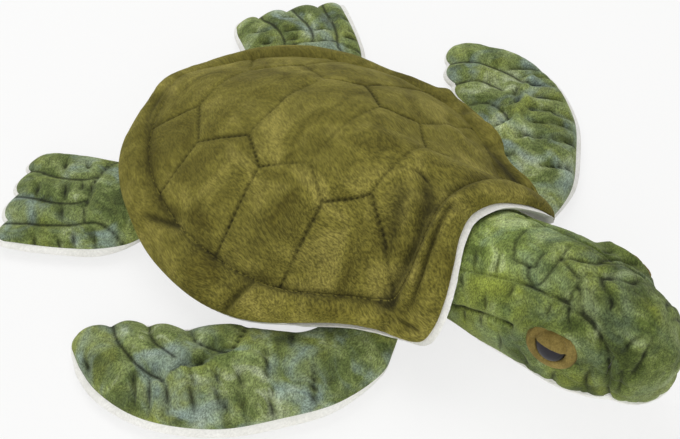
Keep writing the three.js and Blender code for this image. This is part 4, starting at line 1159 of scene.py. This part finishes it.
# Skin of the head with its relief: pillows puff·(1 - e^(-d/shoulder)) beside its seams, folds and seams
# e^(-(d/w)²), soft scales, the fullness of cheek and nape, the roll of the brow over the eye and a seat for
# the eye's felt
def headSkin(along, degrees, plain=False):
    base = headPoint(along, degrees)
    lift = fabricRelief(base, 51)
    crease = 0 * lift
    seam = np.full(along.shape, 1e6)
    middle = headPoint(np.array(head["eyePlace"]), head["eyeAngle"])
    seat = 0 * lift
    brow = 0 * lift
    place, turn, reach, spread, height = head["cheek"]
    for side in (1, -1):
        for line in headSeams:
            distance, run, length = distanceToLine(base, headLine(line, side))
            eased = head["seamEase"] * smooth(run, head["seamEnd"] * length, length)
            seam = np.minimum(seam, distance + eased)
        away = np.linalg.norm(base - middle * [1, side, 1], axis=-1)
        seat = np.maximum(seat, 1 - smooth(away, head["eyeSeat"] - head["seatEdge"], head["eyeSeat"]))
        for wholeTurn in (0, 360):
            lift += height * bell(along - place, reach) * bell(degrees - wholeTurn - side * turn, spread)
        if plain:
            continue
        for line in headFolds:
            distance, run, length = distanceToLine(base, headLine(line, side))
            fade = endFade(run, length, head["foldCut"])
            lift -= head["foldDepth"] * fade * bell(distance, head["foldWidth"])
            crease += head["foldShade"] * fade * bell(distance, head["foldShadeWidth"])
        distance, run, length = distanceToLine(base, headLine(headBrow, side))
        roll = endFade(run, length, head["browCut"], head["browPower"])
        brow += head["browHeight"] * roll * bell(distance, head["browWidth"])
    lift += head["puff"] * (1 - np.exp(-seam / head["shoulder"]))
    lift -= head["seamDepth"] * bell(seam, head["seamWidth"])
    mean, varies, size, least, most = head["seamPatches"]
    # painted shade along the seams, folds and pockets and round the scales
    crease += np.clip(mean + varies * noise(base, size, 8), least, most) * bell(seam, head["seamShadeWidth"])
    if not plain:
        for line in headPockets:
            distance, _, _ = distanceToLine(base, headLine(line, -1))
            lift -= head["pocketDepth"] * bell(distance, head["pocketWidth"])
            crease += head["pocketShade"] * bell(distance, head["pocketShadeWidth"])
        inside = cellInside(base, head["scale"], 3)
        depth = head["scaleDepth"] * smooth(along, *head["scaleFrom"])
        lift -= depth * np.exp(-inside / head["scaleShoulder"])
        mean, varies, size, least, most = head["scalePatches"]
        shade = head["scaleShade"] * np.clip(mean + varies * noise(base, size, 4), least, most)
        crease += shade * np.exp(-inside / head["scaleShadeReach"]) * smooth(along, *head["scaleShadeFrom"])
    place, _, reach, spread, height = head["nape"]
    lift += height * np.exp(-(((along - place) / reach) ** 2) - (np.abs(degrees) / spread) ** 4)
    lift = np.maximum(lift, -head["deepest"]) * (1 - seat) + brow
    crease = np.clip(crease, 0, 1) * (1 - seat)
    return base, lift, crease, normalsOf(base, headAxis(along))


# Panel of the head between two seams, from one place along it to another. Its borders meet its neighbours'.
# Painted light and shade run from a painted highlight on top of the neck, by e^(-(degrees/spread)²), to
# painted shade at its sides and on the snout.
def headPanel(name, span, fromSeam, toSeam, columns, rows, material, slot, nodes, plain=False):
    u, v = gridOf(columns, rows)
    along = span[0] + (span[1] - span[0]) * v
    low, high = fromSeam(along), toSeam(along)
    degrees = low + (high - low) * u
    base, lift, crease, normals = headSkin(along, degrees, plain)
    outer = base + lift[..., None] * normals
    inner = base + (lift - head["thickness"])[..., None] * normals
    top = bell((degrees + 180) % 360 - 180, head["napeSpread"])
    tone = (head["neckTopHighlight"] * top - head["neckSideShade"] * (1 - top)) * (1 - smooth(along, *head["neckEnd"]))
    tone -= head["snoutShade"] * smooth(along, *head["snoutFrom"])
    values = {"crease": crease, "tone": 0 * tone if plain else tone, "greener": np.ones_like(tone)}
    piece = makePiece(name, outer, inner, values=values)
    dressPiece(piece, material, slot, "head", nodes)


# Panels of each side between its seams, a crown and a muzzle that reach across, and a plain chin
def makeHead():
    green = (mottledMinky, "mottled_minky")
    headPanel("headCrown", (0, 1), lambda a: -crownSeam(a), crownSeam, 90, 150, *green, ["head_crown"])
    for side, name in sideNames.items():
        node = name.lower()
        headPanel(
            "neckSide" + name, (0, 1), lambda a: side * crownSeam(a), lambda a: side * sideSeam(a), 50, 150,
            *green, ["neck_side_" + node],
        )
        headPanel(
            "cheek" + name, (0, 1), lambda a: side * sideSeam(a), lambda a: side * chinSeam(a), 60, 150,
            *green, ["cheek_" + node],
        )
    headPanel("muzzle", (2, 1), lambda a: -chinSeam(a), chinSeam, 220, 50, *green, ["muzzle_panel"])
    chinEnd = head["chinSeam"][-1][0]
    headPanel(
        "chin", (0, chinEnd), chinSeam, lambda a: 360 - chinSeam(a), 60, 150, whiteMinky, "white_minky",
        ["chin_panel"], plain=True,
    )


makeHead()
print("head made")


# The head's stuffing is loose fibre, and the neck's root a ball of it
filling = {"columns": 60, "rows": 50, "inset": 5.5, "lump": 0.8, "lumpSize": 7}


# The head's surface drawn in by the inset, with noise that fades at both ends, closed at the rear by a flat
# disc
def makeHeadFilling():
    u, v = gridOf(filling["columns"], filling["rows"], ring=True)
    skin = headPoint(2 - 2 * v, 360 * u, filling["inset"])
    skin += (filling["lump"] * noise(skin, filling["lumpSize"], 61) * np.minimum(v, 1 - v) * 4)[..., None]
    back = headPoint(np.zeros_like(v), 360 * u, filling["inset"])
    middle = headAxis(np.zeros_like(v))
    back = middle + (back - middle) * v[..., None]
    piece = makePiece("headFilling", skin, back, loop=True)
    dressPiece(piece, fibreFill, "fibre_fill", "head", ["head_stuffing"])


makeHeadFilling()


neckBall = {"columns": 48, "rows": 24, "lump": 0.5, "lumpSize": 6, "core": 0.9}


# A ball in the box of its node, (sin v·cos u, sin v·sin u, cos v), with noise, round a smaller one
def makeNeckRoot():
    low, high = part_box("neck_root")
    centre = 1000 * np.array((low + high) / 2) - [collarShift, 0, 0]
    radius = 500 * (high - low)[2]
    u, v = gridOf(neckBall["columns"], neckBall["rows"], ring=True)
    turn, down = 2 * math.pi * u, math.pi * v
    out = np.stack([np.sin(down) * np.cos(turn), np.sin(down) * np.sin(turn), np.cos(down)], -1)
    ball = centre + radius * out
    ball += (neckBall["lump"] * noise(ball, neckBall["lumpSize"], 71))[..., None]
    piece = makePiece("neckRoot", ball, centre + (ball - centre) * neckBall["core"], loop=True)
    dressPiece(piece, fibreFill, "fibre_fill", "neck", ["neck_root"])


makeNeckRoot()


# Flippers

flipperShape = {
    "rootRadius": 9, "floorGap": 0.3, "hingeHeight": 11, "thickness": 2,
    # Powers that close the skin towards its seam and its tip, what is left of its height at the tip, and
    # where along it it swells most
    "upperPowers": (2.6, 0.6), "underPowers": (4, 0.4), "tipPower": 8, "tipFullness": 0.62, "swellPlace": 0.4,
    "lobePower": 3, "bowPower": 2,  # how a lobe's bulge and the tip's bow grow outwards
    "tipCrowding": 0.9,
    "sideBulge": 4.2, "bulgeFrom": (0.12, 0.4),  # the white underside stands out below the seam
    "bulgeTip": 6,  # power of its bulge at the tip
    "lump": 0.7, "lumpFrom": (-0.1, 0.2),
    "lobePuff": 2.4, "lobeShoulder": 6,
    "channelDepth": 3.4, "channelWidth": 2.0, "channelShadeWidth": 1.1,
    "creaseDepth": 4.4, "creaseWidth": 2.0, "creaseCut": 0.15, "creaseShadeWidth": 1.4,
    "ridgeHeight": 3.4, "ridgeWidth": 3.0, "ridgeHighlight": 0.3,  # painted highlight: how much lighter a ridge is painted
    "scale": 12, "scaleStretch": 0.75, "scaleDepth": 0.5, "scaleShoulder": 1.5, "scaleShade": 0.12,
    "scaleShadeReach": 0.9,
    "deepest": 1.5, "rimShoulder": 2.5,  # no fold goes deeper, and all fade out at the rim
    # Share of the relief left out under the skirt, from and to where outwards, so that the flipper flaps
    # clear of it
    "rootCalm": 0.75, "rootEnd": (12, 34),
    # How soon the fabric is at full thickness inside its sides, its tip and its root
    "sharpness": 2.2, "tipSharpness": 9, "rootSharpness": 4,
}
# Outlines: leading side, then trailing side, as shares of sweep and of reach. Lines on the upper side are in
# mm in the root's frame, x along the root towards the head and y outwards.
frontFlipper = {
    "kind": "front", "sweep": 157, "reach": 86, "rootLength": 46, "swell": 10.4, "tipDrop": 3,
    "degrees": 24,  # of the root's line, turned in towards the head
    "outline": [
        (0.14, 0.18, -0.21, 0.07), (0.03, 0.5, -0.3, 0.095), (-0.14, 0.73, -0.39, 0.12),
        (-0.34, 0.93, -0.592, 0.262), (-0.6, 0.995, -0.735, 0.305), (-0.8, 0.88, -0.868, 0.375),
        (-0.95, 0.66, -0.985, 0.53),
    ],
    "notches": [3 / 7, 4 / 7, 5 / 7, 6 / 7, 1], "lobeBulge": 4.5, "tipRound": 0.05,
    "channels": [
        [(-136, 30), (-127.3, 42.8), (-117.6, 50.7), (-108, 57), (-98.7, 61), (-92.8, 62.5), (-90, 65)],
        [(-115, 24), (-109.7, 34.7), (-104, 40.1), (-97, 43.1), (-90.4, 46.2)],
        [(-93, 20.5), (-85.1, 30.7), (-79.3, 33.6), (-70.2, 35.5), (-61.3, 35)],
        [(-60.5, 9), (-60.2, 25.6), (-61.3, 34)],
    ],
    "ridges": [
        [(-93, 69), (-88.2, 63), (-84.5, 56), (-76, 54.5), (-69.8, 52.5), (-65, 44), (-57, 38), (-40, 36)],
        [(-66, 8), (-56.5, 14), (-56, 26), (-57, 36)],
    ],
    "creases": [
        [(-88, 59.5), (-84, 52), (-80, 48.5)], [(-79, 53), (-74, 48), (-73, 43)],
        [(-109, 62), (-104, 72), (-100, 82)], [(-98, 64), (-95, 73), (-91, 84)],
        [(-88, 62), (-85, 71), (-81.5, 83)], [(-76.5, 55), (-73, 65), (-67, 76)],
        [(-64.5, 49), (-60.6, 59), (-55, 71)], [(-54, 43), (-47.2, 58), (-37, 73)],
        [(-54, 64), (-51, 72), (-47, 79)], [(-43.1, 29.7), (-39, 38), (-36, 46)],
        [(-32, 51), (-28, 61), (-25, 70)], [(-33.7, 10), (-30.6, 21.2)], [(-14, 30), (-10, 44), (-6, 54)],
        [(-140, 60), (-133, 67)],
    ],
    "pads": [(-116, 44, 7, 1.2), (-77, 43, 8, 1.8), (-101, 33, 6, 1.0)],  # mounds: x, y, radius and height
    "columns": 120, "rows": 230,
}
rearFlipper = {
    "kind": "rear", "sweep": 74, "reach": 86, "rootLength": 60, "swell": 9.2, "tipDrop": 2.5,
    "degrees": -36.6,
    "outline": [
        (0.486, 0.163, -0.46, 0.116), (0.485, 0.384, -0.554, 0.28), (0.42, 0.6, -0.64, 0.44),
        (0.33, 0.81, -0.705, 0.56), (0.235, 1.0, -0.735, 0.665),
    ],
    "notches": [0, 0.24, 0.54, 0.8, 1], "lobeBulge": 5.2, "tipBow": 5.5, "tipRound": 0,
    "channels": [
        [(-38.5, 69), (-36.4, 63.6), (-29.9, 57.5), (-23.9, 49.5), (-20.3, 42.7), (-17.5, 34.6), (-16.7, 27)],
        [(-19, 81), (-14.7, 73.7), (-9, 64.7), (-3.6, 56.8), (-0.3, 48.9), (1.7, 40.8), (1, 34.3)],
        [(2.5, 90), (4.7, 83.2), (8.2, 74.3), (12.4, 65.9), (15.9, 54.7), (18.2, 45.6), (18.6, 38)],
        [
            (-32, 12), (-30.7, 15.9), (-26.6, 20), (-22.1, 23.4), (-16.9, 26.3), (-12.2, 30.2), (-5, 32.6),
            (1.4, 34.4), (9, 37.9), (18.6, 39.3), (20.1, 31.9), (24.5, 26.5), (30.8, 21.4), (37.6, 17.4),
        ],
    ],
    "ridges": [],
    "creases": [
        [(-18.2, 47), (-10, 48), (-3.4, 49.2)], [(-32.5, 31.5), (-26.4, 32)], [(-15.2, 36.5), (-7.8, 38.3)],
        [(0.4, 51.3), (11.9, 52.1)], [(20.6, 69.3), (29.1, 70.4)], [(25, 55.3), (33.2, 54.8)],
        [(24.4, 35.2), (37.4, 34)], [(23, 45.4), (31.6, 46.7)], [(-40, 45), (-31, 47)],
        [(-22, 64), (-14, 66)],
    ],
    "pads": [(0, 20, 14, 2.5)],
    "columns": 130, "rows": 130,
}


# Swell of a lobe between two notches: half a sine wave, to the power 0.7, from 0 at a notch to 1 midway
def lobeSwell(at, notches, power=0.7):
    notches = np.asarray(notches, float)
    k = np.clip(np.searchsorted(notches, at, side="right") - 1, 0, len(notches) - 2)
    share = np.clip((at - notches[k]) / (notches[k + 1] - notches[k]), 0, 1)
    return np.where((at >= notches[0]) & (at <= notches[-1]), np.sin(math.pi * share) ** power, 0)


# Flipper's plan in its root's frame: straight from the leading to the trailing outline, swollen into lobes,
# and drawn together round the tip by √(1 - t²). u runs from the leading side to the other, v from the root,
# 0, to the tip, 1.
def flipperPlan(shape, u, v):
    rootX = shape["rootLength"] / 2
    rows = np.array(shape["outline"]) * ([shape["sweep"], shape["reach"]] * 2)
    outline = np.vstack([[rootX, 0, -rootX, 0], rows])
    lead, trail = (curveThrough(outline[:, side:side + 2], np.maximum(v, 0)) for side in (0, 2))
    way = trail - lead
    way = way / (np.linalg.norm(way, axis=-1, keepdims=True) + 1e-9)
    power = flipperShape["lobePower"]
    if shape["kind"] == "front":
        bulge = shape["lobeBulge"] * lobeSwell(v, shape["notches"]) * np.maximum(u, 0) ** power
        out = way
    else:
        bulge = shape["lobeBulge"] * lobeSwell(u, shape["notches"]) * np.maximum(v, 0) ** power
        bow = np.sqrt(np.maximum(4 * u * (1 - u), 0)) * np.maximum(v, 0) ** flipperShape["bowPower"]
        bulge = bulge + shape["tipBow"] * bow
        out = np.array([0, 1])
    across = u
    if shape["tipRound"]:
        near = np.clip((v - 1 + shape["tipRound"]) / shape["tipRound"], 0, 1)
        across = 0.5 + (u - 0.5) * np.sqrt(np.maximum(1 - near**2, 0))
    return lead + (trail - lead) * across[..., None] + bulge[..., None] * out, way


# Skin over the plan: as thick as the root's radius, then the swell, then down to the tip, closed by powers
# towards the seam. Before the root's axis, v from -1 to 0, it rounds the root. Below the seam the skin
# stands out by 4·side·c·(1 - c), where c is how far it has closed.
def flipperPoint(shape, u, v, up):
    plan, way = flipperPlan(shape, u, v)
    at = np.concatenate([plan, np.zeros_like(plan[..., :1])], -1)
    radius, swellPlace = flipperShape["rootRadius"], flipperShape["swellPlace"]
    turn = (1 + np.minimum(v, 0)) * math.pi / 2
    at[..., 1] -= radius * np.cos(turn)
    share = np.clip(v, 0, 1)
    body = radius + (shape["swell"] - radius) * np.sin(np.minimum(share / swellPlace, 1) * math.pi / 2)
    toTip = np.clip((share - swellPlace) / (1 - swellPlace), 0, 1)
    body = body * (1 - (1 - flipperShape["tipFullness"]) * toTip)
    tipClose = np.sqrt(np.maximum(1 - share ** flipperShape["tipPower"], 0))
    powers = flipperShape["upperPowers"] if up > 0 else flipperShape["underPowers"]
    fromMiddle = np.abs(2 * u - 1)
    closed = np.maximum(1 - fromMiddle ** powers[0], 0) ** powers[1] * np.sin(turn) * tipClose
    middle = -shape["tipDrop"] * share
    if up > 0:
        at[..., 2] = middle + body * closed
    else:
        floor = flipperShape["floorGap"] - flipperShape["hingeHeight"]
        at[..., 2] = np.maximum(middle - body * closed, floor)
        out = flipperShape["sideBulge"] * 4 * closed * (1 - closed) * smooth(v, *flipperShape["bulgeFrom"])
        beside = fromMiddle > share ** flipperShape["lobePower"]
        at[..., :2] += (out * np.where(beside, 2 * u - 1, 0))[..., None] * way
        at[..., 1] += out * share ** flipperShape["bulgeTip"]
    return at


# Turns a flipper's points from its root's frame into the building frame, at its hinge
def flipperPlace(points, shape, side):
    hinge = jointOf[f"{shape['kind']}_flap_{sideNames[side].lower()}"]["pos_m"]
    angle = -side * math.radians(shape["degrees"])
    x, y, z = np.moveaxis(points * [1, side, 1], -1, 0)
    turned = [x * math.cos(angle) - y * math.sin(angle), x * math.sin(angle) + y * math.cos(angle), z]
    return np.stack(turned, -1) + 1000 * np.array(hinge) - [collarShift, 0, 0]


# Relief of the upper side: lobes swell by puff·(1 - e^(-d/shoulder)) between their channels, which are cut
# by e^(-d/width); gathers and ridges are e^(-(d/width)²), mounds the same round a spot. Nothing goes deeper
# than deepest, and all of it fades by 1 - e^(-d/shoulder) at the rim and by rootCalm at the root. Channels,
# gathers and scale borders get painted shade, and ridges a painted highlight.
def flipperRelief(plan, shape):
    nearest = np.full(plan.shape[:-1], 1e6)
    for line in shape["channels"]:
        distance, _, _ = distanceToLine(plan, curveThrough(line, np.linspace(0, 1, 18)))
        nearest = np.minimum(nearest, distance)
    sides = np.linspace(0.05, 1, 40)
    across = np.linspace(0, 1, 50)
    rims = [flipperPlan(shape, 0 * sides, sides)[0], flipperPlan(shape, 0 * sides + 1, sides)[0]]
    rims.append(flipperPlan(shape, across, 0 * across + 1)[0])
    rim = np.min([distanceToLine(plan, line)[0] for line in rims], axis=0)
    lift = flipperShape["lobePuff"] * (1 - np.exp(-nearest / flipperShape["lobeShoulder"]))
    lift -= flipperShape["channelDepth"] * np.exp(-nearest / flipperShape["channelWidth"])
    crease = bell(nearest, flipperShape["channelShadeWidth"])
    tone = 0 * lift
    for line in shape["creases"]:
        distance, run, length = distanceToLine(plan, np.asarray(line, float))
        fade = endFade(run, length, flipperShape["creaseCut"])
        lift -= flipperShape["creaseDepth"] * fade * bell(distance, flipperShape["creaseWidth"])
        crease += fade * bell(distance, flipperShape["creaseShadeWidth"])
    for line in shape["ridges"]:
        distance, _, _ = distanceToLine(plan, curveThrough(line, np.linspace(0, 1, 24)))
        ridge = bell(distance, flipperShape["ridgeWidth"])
        lift += flipperShape["ridgeHeight"] * ridge
        tone = np.maximum(tone, flipperShape["ridgeHighlight"] * ridge)
    for x, y, radius, height in shape["pads"]:
        lift += height * bell(np.hypot(plan[..., 0] - x, plan[..., 1] - y), radius)
    inside = cellInside(plan * [1, flipperShape["scaleStretch"]], flipperShape["scale"], 5)
    lift -= flipperShape["scaleDepth"] * np.exp(-inside / flipperShape["scaleShoulder"])
    crease += flipperShape["scaleShade"] * np.exp(-inside / flipperShape["scaleShadeReach"])
    lift = np.maximum(lift, -flipperShape["deepest"])
    calm = 1 - flipperShape["rootCalm"] * (1 - smooth(plan[..., 1], *flipperShape["rootEnd"]))
    lift *= (1 - np.exp(-rim / flipperShape["rimShoulder"])) * calm
    return lift, np.clip(crease, 0, 1), tone


# Upper or under side of one flipper, with its columns closer at its sides and its rows closer at its tip.
# Its fabric thins out to the seam that the two share.
def makeFlipperPanel(shape, side, up):
    thin = 1 if up > 0 else 2
    u, v = gridOf(shape["columns"] // thin, shape["rows"] // thin)
    u = 0.5 - 0.5 * np.cos(math.pi * u)
    v = 2 * v - 1
    v = np.where(v < 0, v, np.sin(np.maximum(v, 0) * math.pi / 2) ** flipperShape["tipCrowding"])
    base = flipperPoint(shape, u, v, up)
    edge = np.minimum(np.sqrt(np.maximum(1 - np.abs(2 * u - 1) ** 2, 0)) * flipperShape["sharpness"], 1)
    edge = edge * np.sqrt(np.clip((1 - v) * flipperShape["tipSharpness"], 0, 1))
    edge = edge * np.clip((1 + v) * flipperShape["rootSharpness"], 0, 1)
    lift, crease, tone = flipperRelief(base[..., :2], shape) if up > 0 else (0 * u, 0 * u, 0 * u)
    placed = flipperPlace(base, shape, side)
    pile = fabricRelief(placed, 81 + 9 * side, lump=flipperShape["lump"])
    lift = lift + pile * smooth(v, *flipperShape["lumpFrom"])
    normals = normalsOf(placed, placed.mean((0, 1)) - [0, 0, 40 * up])
    outer = placed + (lift * edge)[..., None] * normals
    outer[..., 2] = np.maximum(outer[..., 2], 0.05)
    inner = placed - (flipperShape["thickness"] * edge)[..., None] * normals
    node = f"{shape['kind']}_flipper_{sideNames[side].lower()}"
    name = f"{shape['kind']}Flipper{sideNames[side]}{'Upper' if up > 0 else 'Underside'}"
    nodes = [node + "_upper", node + "_stuffing"] if up > 0 else [node + "_underside"]
    piece = makePiece(name, outer, inner, values={"crease": crease, "tone": tone})
    material, slot = (mottledMinky, "mottled_minky") if up > 0 else (whiteMinky, "white_minky")
    dressPiece(piece, material, slot, node, nodes)


for flipper in (frontFlipper, rearFlipper):
    for flipperSide in (1, -1):
        makeFlipperPanel(flipper, flipperSide, 1)
        makeFlipperPanel(flipper, flipperSide, -1)
print("flippers made")


# Eyes

eye = {
    # The flange is widened so that its black rim also fills the shaded gap under the felt: partly painted
    # shade
    "radius": 9, "dome": 4.6, "seat": 0.6, "back": 1.0,  # moulded dome on its flange
    "rimFrom": (6.6, 7.1),  # mm from the middle, where the black rim begins
    "ringInner": 8.5, "ringOuter": 15, "ringHeight": 3.0, "ringShade": 0.5,
    "lidRadius": 13.2, "lidEdge": 0.6, "lidSag": 0.9, "lidThickness": 1.5,
    "lidOnRing": (-1.5, 2.5),  # mm from the ring's inner edge, where the lid goes over from the lens to it
    # The felt goes down under the brow from this height above the eye's middle, over this height, by this
    # depth
    "tuckFrom": 8.8, "tuckOver": 2.5, "tuckDepth": 5.5,
    "fuzz": ((0.12, 1.3), (0.2, 5)),  # mm high and mm across
}


# Frame of an eye at the head's skin: along the head, up along the skin and outwards, with its middle. The
# ways come from differences between its place and one a small step beside it.
def eyeFrame(side, step=0.01):
    def at(along, degrees):
        return headPoint(np.array(along), np.array(side * degrees))

    place, angle = head["eyePlace"], head["eyeAngle"]
    middle = at(place, angle)
    forward = at(place + step, angle) - middle
    down = at(place, angle + step) - middle
    out = np.cross(forward, down) * side
    out /= np.linalg.norm(out)
    across = np.cross(out, down)
    across /= np.linalg.norm(across)
    return np.stack([across, np.cross(out, across), out]), middle


# Height of the head's skin over the eye's plane: a quartic fitted to the skin round the eye
def skinFit(side):
    axes, middle = eyeFrame(side)
    along, turn = np.meshgrid(np.linspace(-0.16, 0.16, 21), np.linspace(-30, 30, 21), indexing="ij")
    local = (headPoint(head["eyePlace"] + along, side * (head["eyeAngle"] + turn)) - middle) @ axes.T
    x, y, z = local.reshape(-1, 3).T
    powers = [(i, j) for i in range(5) for j in range(5 - i)]
    terms = np.stack([x**i * y**j for i, j in powers], -1)
    weights = np.linalg.lstsq(terms, z, rcond=None)[0]

    def height(px, py):
        return sum(w * px**i * py**j for w, (i, j) in zip(weights, powers))

    return axes, middle, height


# Disc or ring on the eye's axis: circles of points of the given radii, with heights for their upper and
# Acrylic eye, moulded and polished: dark, with a soft gloss and a faint haze. Its rim is black: the eye's own
# dark rim, widened so that it also fills the gap under the felt, where it is painted shade.
def eyePiece(name, axes, middle, radii, upper, lower, columns=72, values=None):
    turns = np.linspace(0, 2 * math.pi, columns, endpoint=False)
    angle, radius = np.meshgrid(turns, radii, indexing="ij")
    x, y = radius * np.cos(angle), radius * np.sin(angle)
    sides = [middle + np.stack([x, y, height(x, y, radius)], -1) @ axes for height in (upper, lower)]
    attributes = {key: value(radius) for key, value in (values or {}).items()}
    return makePiece(name, *sides, loop=True, values=attributes)


# Felt ring: a pad of height·(1 - |t|³)^0.6 across its width. Lens: a dome of dome·√(1 - r²). Both felts are
# lowered under the brow by a smooth step.
def makeEye(side):
    axes, middle, skin = skinFit(side)
    name = sideNames[side]
    node = name.lower()
    inner, outer = eye["ringInner"], eye["ringOuter"]

    def pad(radius):
        share = np.clip((2 * radius - inner - outer) / (outer - inner), -1, 1)
        return eye["ringHeight"] * np.maximum(1 - np.abs(share) ** 3, 0) ** 0.6

    def tuck(y):
        return eye["tuckDepth"] * smooth(y, eye["tuckFrom"], eye["tuckFrom"] + eye["tuckOver"])

    def lens(radius):
        share = np.clip(radius / eye["radius"], 0, 1)
        return eye["seat"] + eye["dome"] * np.sqrt(np.maximum(1 - share**2, 0))

    def feltFuzz(x, y):
        places = np.stack([x, y], -1)
        return sum(high * noise(places, size, 91 + k) for k, (high, size) in enumerate(eye["fuzz"]))

    radii = inner + (outer - inner) * (0.5 - 0.5 * np.cos(np.linspace(0, math.pi, 22)))
    ring = eyePiece(
        "eyeRing" + name, axes, middle, radii,
        lambda x, y, r: skin(x, y) + pad(r) + feltFuzz(x, y) * np.minimum(pad(r), 1) - tuck(y),
        lambda x, y, r: skin(x, y) - 0.3 - tuck(y), columns=120,
        # painted shade along the felt ring's inner and outer edges
        values={"crease": lambda r: bell(r - inner, eye["ringShade"]) + bell(outer - r, eye["ringShade"])},
    )
    dressPiece(ring, oliveFelt, "olive_felt", "head", ["eye_ring_" + node])
    dome = eyePiece(
        "eye" + name, axes, middle, eye["radius"] * np.sin(np.linspace(0, math.pi / 2, 24)),
        lambda x, y, r: lens(r), lambda x, y, r: 0 * r - eye["back"],
        values={"rim": lambda r: smooth(r, *eye["rimFrom"])},
    )
    dressPiece(dome, lensPlastic, "dark_plastic", "head", ["eye_" + node])
    makeEyelid(side, axes, middle, skin, pad, lens, feltFuzz, tuck)
    for slot in frame["nodes"]["eye_washer_" + node].material_slots:
        slot.material = washerPlastic


# Felt laid over ring and lens down to a straight edge. Its rows run up from that edge, its columns across,
# as wide as √(1 - v²). Its height goes over from the lens's to the ring's by a smooth step, and it thins out
# at its rim.
def makeEyelid(side, axes, middle, skin, pad, lens, feltFuzz, tuck):
    u, v = gridOf(60, 34)
    u = 2 * u - 1
    radius = eye["lidRadius"]
    x = radius * u * (np.sqrt(np.maximum(1 - v**2, 0)) * 0.999 + 0.001)
    y = eye["lidEdge"] + (radius - eye["lidEdge"]) * v - eye["lidSag"] * u**2 * (1 - v)
    r = np.hypot(x, y)
    start, end = eye["lidOnRing"]
    onLens = 1 - smooth(r, eye["ringInner"] + start, eye["ringInner"] + end)
    onRing = skin(x, y) + pad(np.maximum(r, eye["ringInner"]))
    under = np.maximum((lens(r) + 0.2) * onLens, 0) + onRing * (1 - onLens)
    rim = np.sqrt(np.clip((1 - np.abs(u)) * 14, 0, 1)) * np.sqrt(np.clip((1 - v) * 14, 0, 1))
    lip = np.sqrt(np.clip(v * 12 + 0.15, 0, 1))
    under -= tuck(y)
    over = under + eye["lidThickness"] * rim * lip + feltFuzz(x, y) * rim
    sides = [middle + np.stack([x, y, height], -1) @ axes for height in (over, under - 0.15)]
    piece = makePiece("eyelid" + sideNames[side], *sides)
    dressPiece(piece, oliveFelt, "olive_felt", "head", ["eyelid_" + sideNames[side].lower()])


makeEye(1)
makeEye(-1)
print("eyes made")


# Studio: plain pale floor, an even sky and two broad soft lamps

studio = {
    "floor": "#F4F4F2", "floorHalf": 6,  # m
    "floorGlow": 0.72,  # share of plain white that the camera sees in the floor, so its shadow stays faint
    "sky": 0.55,
    # Soft lamps: watts, size and place
    "lamps": {"keyLamp": (11.0, 1.3, (-0.75, 0.35, 1.4)), "fillLamp": (7.0, 1.2, (0.8, -0.9, 0.38))},
}


# White, by that share, where the camera or a mirror or a glass looks at it, and the given shader for the
# light that it gives
def seenWhite(tree, shader, white, share=1.0):
    path = addNode(tree, "ShaderNodeLightPath")
    seen = addNode(
        tree, "ShaderNodeMath", {"operation": "MAXIMUM"},
        {0: path.outputs["Is Camera Ray"], 1: path.outputs["Is Glossy Ray"]},
    )
    seen = addNode(
        tree, "ShaderNodeMath", {"operation": "MAXIMUM"},
        {0: seen.outputs[0], 1: path.outputs["Is Transmission Ray"]},
    )
    part = addNode(tree, "ShaderNodeMath", {"operation": "MULTIPLY", 1: share}, {0: seen.outputs[0]})
    links = {0: part.outputs[0], 1: shader.outputs[0], 2: white.outputs[0]}
    return addNode(tree, "ShaderNodeMixShader", links=links)


def makeStudio(values):
    mesh = bpy.data.meshes.new("floor")
    half = values["floorHalf"]
    corners = [(-half, -half, 0), (half, -half, 0), (half, half, 0), (-half, half, 0)]
    mesh.from_pydata(corners, [], [(0, 1, 2, 3)])
    floor = addObject("floor", mesh)
    material, tree = newMaterial("floorPaper")
    paper = addNode(tree, "ShaderNodeBsdfDiffuse", {"Color": colour(values["floor"])})
    white = addNode(tree, "ShaderNodeEmission", {"Color": (1, 1, 1, 1), "Strength": 1})
    mix = seenWhite(tree, paper, white, values["floorGlow"])
    addNode(tree, "ShaderNodeOutputMaterial", links={"Surface": mix.outputs[0]})
    mesh.materials.append(material)
    world = bpy.data.worlds.new("studioSky")
    bpy.context.scene.world = world
    world.use_nodes = True
    sky = world.node_tree
    sky.nodes.clear()
    dim = addNode(sky, "ShaderNodeBackground", {"Color": (1, 1, 1, 1), "Strength": values["sky"]})
    bright = addNode(sky, "ShaderNodeBackground", {"Color": (1, 1, 1, 1), "Strength": 1})
    mix = seenWhite(sky, dim, bright)
    addNode(sky, "ShaderNodeOutputWorld", links={"Surface": mix.outputs[0]})
    for name, (power, size, spot) in values["lamps"].items():
        lamp = bpy.data.lights.new(name, "AREA")
        lamp.energy = power
        lamp.size = size
        aim(addObject(name, lamp), Vector(spot), -Vector(spot))


makeStudio(studio)


bpy.context.scene.view_settings.view_transform = "Standard"
